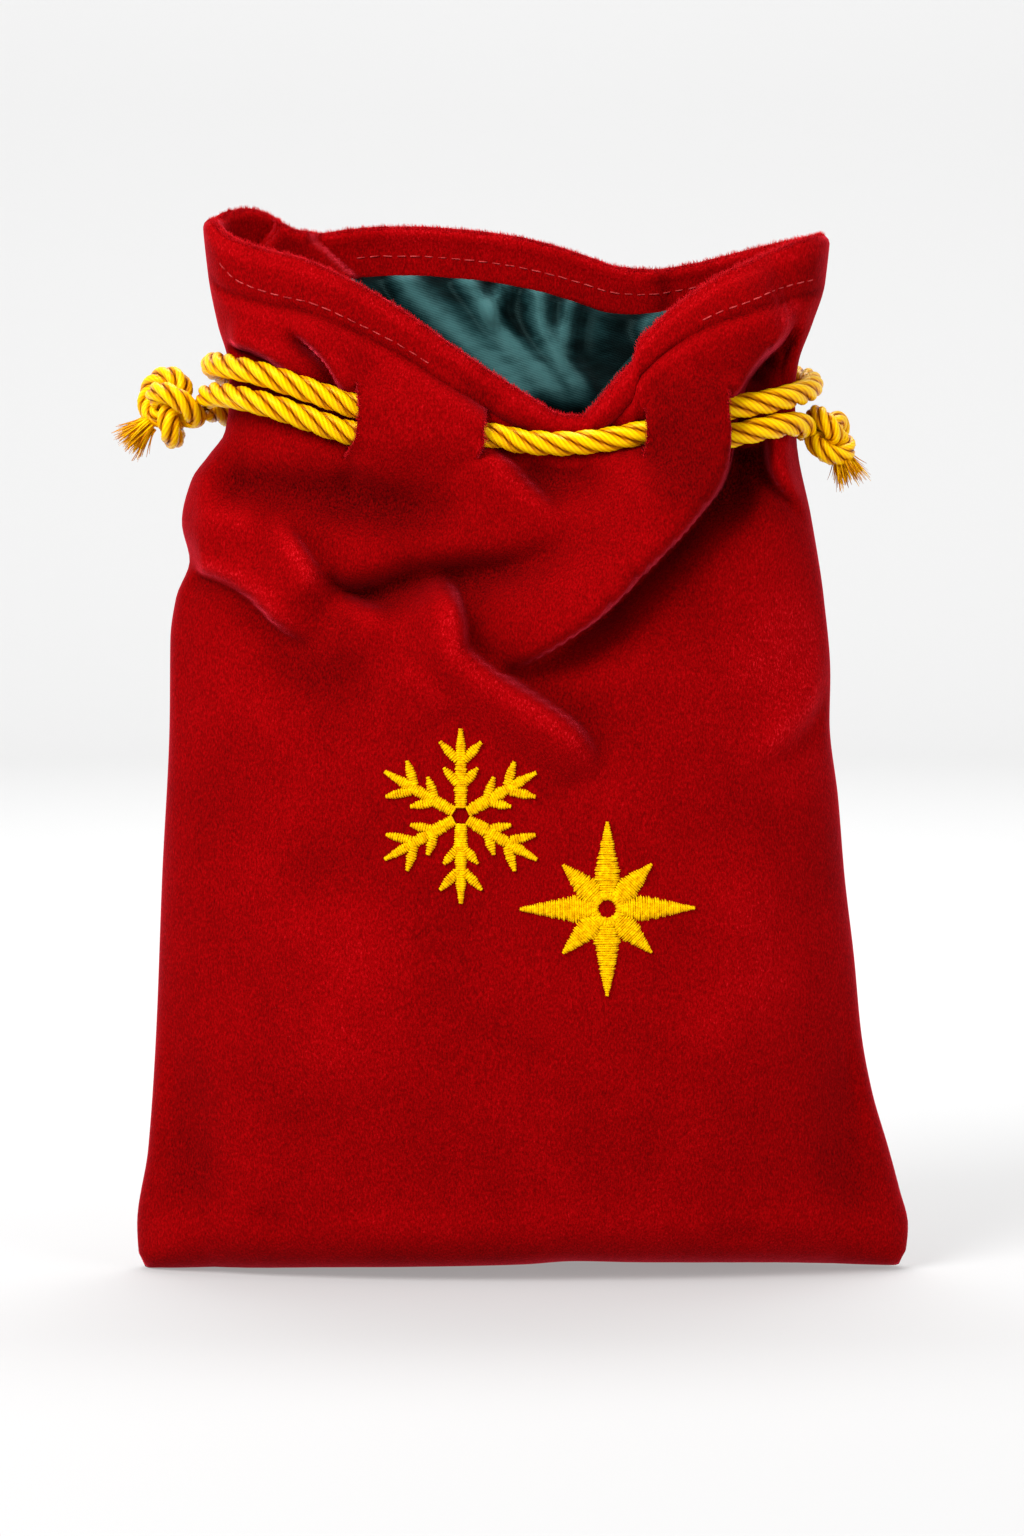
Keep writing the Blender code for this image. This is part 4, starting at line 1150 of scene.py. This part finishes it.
def rope_mesh(name, path, diameter, lay_length, material, closed=False):
    """Four strands laid round each other along a path, with the grooves between their plies."""
    way, side_a, side_b = frames_along(path, closed)
    run = np.concatenate([[0], np.cumsum(np.linalg.norm(np.diff(path, axis=0), axis=1))])
    if closed:
        total = run[-1] + np.linalg.norm(path[0] - path[-1])
        turns = max(1, round(total / lay_length))
        twist = 2 * math.pi * turns * run / total
        # close the frame's own drift
        end = side_a[-1]
        drift = math.atan2(np.dot(side_a[0], np.cross(way[-1], end)), np.dot(side_a[0], end))
        twist = twist + drift * run / total
    else:
        twist = 2 * math.pi * run / lay_length
    strand = diameter * 0.222
    reach = diameter / 2 - strand * 0.94
    angles = np.linspace(0, 2 * math.pi, STRAND_SIDES, endpoint=False)
    points, faces, shade, coords = [], [], [], []
    for k in range(STRANDS):
        phase = twist + 2 * math.pi * k / STRANDS
        out = np.cos(phase)[:, None] * side_a + np.sin(phase)[:, None] * side_b
        centre = path + out * reach
        across = np.cross(way, out)
        start = len(points)
        for i in range(len(path)):
            ply = PLIES / 2 * (angles - run[i] / lay_length * 2 * math.pi * 1.2)
            radius = strand * (0.86 + 0.15 * np.abs(np.cos(ply)) ** 0.7)
            # the strand is squeezed a little against its neighbours
            squeeze = 1 + 0.06 * np.abs(np.sin(angles))
            ring = (
                centre[i] + (radius * np.cos(angles))[:, None] * out[i]
                + (radius * squeeze * np.sin(angles))[:, None] * (across[i] * 0.9 - way[i] * 0.43)
            )
            points += list(ring)
            # painted shade: lighter where a strand faces out, darker in the grooves between strands and plies
            shade += list(0.1 + 0.9 * np.clip(np.cos(angles), 0, 1) ** 0.8 - 0.4 * (1 - np.abs(np.cos(ply))))
            coords += [(a / (2 * math.pi), run[i] / lay_length, 0) for a in angles]
        rings = len(path)
        if closed:
            for i in range(rings):
                here, after = start + i * STRAND_SIDES, start + ((i + 1) % rings) * STRAND_SIDES
                for j in range(STRAND_SIDES):
                    beside = (j + 1) % STRAND_SIDES
                    faces.append((here + j, here + beside, after + beside, after + j))
        else:
            faces += tube_faces(start, rings, STRAND_SIDES)
    return thread_body(name, points, faces, np.clip(shade, 0, 1), coords, material)


def thread_body(name, points, faces, shade, coords, material):
    """A piece of laid threads, with its painted shade and tone and its place along and round each thread."""
    body = new_piece(name, points, faces, material)
    mark(body, "painted_shade_and_tone", shade)
    mark(body, "lie", coords)
    fix = bmesh.new()
    fix.from_mesh(body.data)
    bmesh.ops.recalc_face_normals(fix, faces=fix.faces)
    fix.to_mesh(body.data)
    fix.free()
    body.data.shade_smooth()
    return body


def cord_material(name):
    """Gold rayon coloured by its stored painted shade and tone: painted light on the crowns of the strands,
    painted brown shade in the grooves.
    """
    material, tree, shader = nodes_for(name)
    link = tree.links.new
    stretch = add(tree, "ShaderNodeMapping", Scale=(14.0, 2.2, 1.0))
    fibre = add(tree, "ShaderNodeTexNoise", Scale=3.0, Detail=4.0, Roughness=0.65)
    link(stored(tree, "lie").outputs["Vector"], stretch.inputs["Vector"])
    link(stretch.outputs["Vector"], fibre.inputs["Vector"])
    mixed = blended(tree, stored(tree, "painted_shade_and_tone").outputs["Fac"], fibre.outputs["Fac"], 0.3)
    coloured(tree, shader, mixed, [
        (0.10, (0.12, 0.02, 0.0)), (0.34, (0.45, 0.12, 0.0)), (0.56, (0.85, 0.37, 0.0)),
        (0.82, (1.0, 0.66, 0.0)),
    ])
    fill(shader, Roughness=0.27, Specular_IOR_Level=0.6, Specular_Tint=(1.0, 0.68, 0.05, 1))
    bumped(tree, shader, fibre.outputs["Fac"], 0.3, 0.0004)
    return material


gold_cord = cord_material("gold_rayon")
PATH_STEP = 0.85
left_path = even_path(LEFT_ROUTE, PATH_STEP)
right_path = even_path(RIGHT_ROUTE, PATH_STEP)
left_cord = rope_mesh("left_rope", left_path, CORD, LAY, gold_cord)
right_cord = rope_mesh("right_rope", right_path, CORD, LAY, gold_cord)

# ------------------------------------------------------------------ knots and frayed ends
# Both ends of a loop are tied in one overhand stopper knot, pulled tight.  The cut ends
# stick out of it and have opened into loose, darker fibres.
def knot_path(centre, size, tilt, turn, spin):
    """The closed run of an overhand knot, made tight."""
    t = np.linspace(0, 2 * math.pi, 150, endpoint=False)
    ring, wave = 0.62 * size, 0.36 * size
    radius = ring + wave * np.cos(3 * t)
    rise = wave * 1.15 * np.sin(3 * t)
    loop = np.stack([radius * np.cos(2 * t), radius * np.sin(2 * t), rise], axis=-1)
    pose = Matrix.Rotation(turn, 3, "Z") @ Matrix.Rotation(tilt, 3, "Y") @ Matrix.Rotation(spin, 3, "Z")
    return np.array([list(pose @ Vector(p)) for p in loop]) + np.array(centre)


FIBRE_STEPS, FIBRE_SIDES = 6, 4


def fray(name, start, direction, spread, length, count, seed, material):
    """Loose fibres fanning out of a cut end."""
    pick = random.Random(seed)
    way = Vector(direction).normalized()
    side = way.orthogonal().normalized()
    other = way.cross(side)
    points, faces, shade, coords = [], [], [], []
    for _ in range(count):
        angle, reach = pick.uniform(0, 2 * math.pi), math.sqrt(pick.random())
        out = side * math.cos(angle) + other * math.sin(angle)
        root = Vector(start) + out * reach * spread * 0.7
        tip_out = out * spread * (0.5 + 0.9 * reach) * pick.uniform(0.6, 1.3)
        long = length * pick.uniform(0.6, 1.1)
        curl = Vector((pick.uniform(-1, 1), pick.uniform(-1, 1), pick.uniform(-1.4, 0.4)))
        thick = pick.uniform(0.18, 0.42)
        tint = pick.uniform(0.45, 1.05)
        faces += tube_faces(len(points), FIBRE_STEPS + 1, FIBRE_SIDES)
        for k in range(FIBRE_STEPS + 1):
            t = k / FIBRE_STEPS
            here = root + way * long * t + tip_out * (t ** 1.5) * 0.6 + curl * t * t * 1.1
            wide = thick * (1 - 0.75 * t * t)
            for j in range(FIBRE_SIDES):
                a = 2 * math.pi * j / FIBRE_SIDES
                points.append(here + (side * math.cos(a) + other * math.sin(a)) * wide)
                # each fibre has its own random tone and is darker towards its tip
                shade.append(tint - 0.35 * t)
                coords.append((j / FIBRE_SIDES, t * 2, 0))
    return thread_body(name, points, faces, shade, coords, material)


def middle_mm(node):
    """Middle of a CAD node's box, in mm."""
    low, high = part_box(node)
    return [(a + b) / 2 / MM for a, b in zip(low, high)]


left_knot = rope_mesh(
    "left_stopper", knot_path(middle_mm("left_knot"), 9.6, 1.25, 0.5, 0.4), 6.3, 20, gold_cord, closed=True
)
right_knot = rope_mesh(
    "right_stopper", knot_path(middle_mm("right_knot"), 7.6, 1.15, -0.4, 1.4), 5.6, 18, gold_cord, closed=True
)
left_tail = fray("left_fray", (-107.6, -1, 246.4), (-0.75, -0.15, -0.66), 3.8, 9.5, 190, 3, gold_cord)
right_tail = fray("right_fray", (91.3, -4, 238.5), (0.4, -0.1, -0.92), 3.4, 9.5, 180, 5, gold_cord)
for knot, tail, body in ((left_knot, left_tail, "left_pull"), (right_knot, right_tail, "right_pull")):
    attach(knot, body)
    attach(tail, body)
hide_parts("left_knot")
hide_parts("right_knot")
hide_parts("left_frayed_end")
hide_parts("right_frayed_end")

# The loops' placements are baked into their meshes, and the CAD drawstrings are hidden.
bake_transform(left_cord)
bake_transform(right_cord)
for cord, node, path, knot, tail in (
    (left_cord, "left_drawstring", left_path, left_knot, left_tail),
    (right_cord, "right_drawstring", right_path, right_knot, right_tail),
):
    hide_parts(node)

# ------------------------------------------------------------------ floor, light and camera
# A white paper sweep, curved up on three sides behind the sack, and large soft lamps.
SWEEP_REACH = 2.2
SWEEP_CURVE = 0.5
SWEEP_FRONT = -5.0


def sweep_paper():
    """The floor and its upturned walls, as one sheet."""
    walls = [(-1, SWEEP_FRONT, 0.0), (-1, 0.0, 0.0)]
    walls += [(-math.cos(a), 0.0, math.sin(a)) for a in np.linspace(0.1, math.pi - 0.1, 24)]
    walls += [(1, 0.0, 0.0), (1, SWEEP_FRONT, 0.0)]
    profile = [(0, 0), (SWEEP_REACH, 0)]
    profile += [
        (SWEEP_REACH + SWEEP_CURVE * math.sin(a), SWEEP_CURVE * (1 - math.cos(a)))
        for a in np.linspace(0.1, math.pi / 2, 14)
    ]
    profile.append((SWEEP_REACH + SWEEP_CURVE, 2.6))
    sheet = bmesh.new()
    rows = [[sheet.verts.new((nx * r, y + ny * r, z)) for nx, y, ny in walls] for r, z in profile]
    for low, high in zip(rows, rows[1:]):
        for k in range(len(walls) - 1):
            sheet.faces.new((low[k], low[k + 1], high[k + 1], high[k]))
    bmesh.ops.remove_doubles(sheet, verts=sheet.verts, dist=1e-5)
    paper = bpy.data.meshes.new("paper_sweep")
    sheet.to_mesh(paper)
    sheet.free()
    paper.shade_smooth()
    return paper


paper = sweep_paper()
floor = bpy.data.objects.new("paper_sweep", paper)
bpy.context.scene.collection.objects.link(floor)
white, _, white_shader = nodes_for("white_paper")
fill(white_shader, Base_Color=(0.33, 0.33, 0.33, 1), Roughness=0.9)
fill(white_shader, Emission_Color=(1, 1, 1, 1), Emission_Strength=0.31)
paper.materials.append(white)


def soft_lamp(name, place, target, size, power):
    """A large square lamp aimed at a point."""
    data = bpy.data.lights.new(name, "AREA")
    data.shape = "SQUARE"
    data.size = size
    data.energy = power
    lamp = bpy.data.objects.new(name, data)
    lamp.location = place
    lamp.rotation_euler = (Vector(target) - Vector(place)).to_track_quat("-Z", "Y").to_euler()
    bpy.context.scene.collection.objects.link(lamp)


soft_lamp("key", (-1.0, -1.1, 1.25), (0, 0, 0.16), 0.9, 42)
soft_lamp("fill", (1.3, -1.1, 0.7), (0, 0, 0.15), 1.0, 13)
soft_lamp("top", (0.1, 0.1, 1.7), (0, 0, 0.1), 1.2, 10)
soft_lamp("backdrop", (0, 0.9, 1.9), (0, 2.2, 0.3), 1.4, 62)
world = bpy.data.worlds.new("studio")
bpy.context.scene.world = world
world.use_nodes = True
fill(world.node_tree.nodes["Background"], Color=(1, 1, 1, 1), Strength=0.12)

CAMERA_DISTANCE = 1.45
CAMERA_RISE = math.radians(4.0)
AIM = Vector((-0.003, -0.015, 0.1475))
VIEW_TALL = 0.4414
camera_data = bpy.data.cameras.new("camera")
SENSOR = 36
camera_data.sensor_width = SENSOR
camera_data.lens = SENSOR * CAMERA_DISTANCE / VIEW_TALL
camera = bpy.data.objects.new("camera", camera_data)
camera.location = AIM + Vector((0, -math.cos(CAMERA_RISE), math.sin(CAMERA_RISE))) * CAMERA_DISTANCE
camera.rotation_euler = (math.pi / 2 - CAMERA_RISE, 0, 0)
bpy.context.scene.collection.objects.link(camera)
bpy.context.scene.camera = camera
bpy.context.scene.view_settings.view_transform = "Standard"
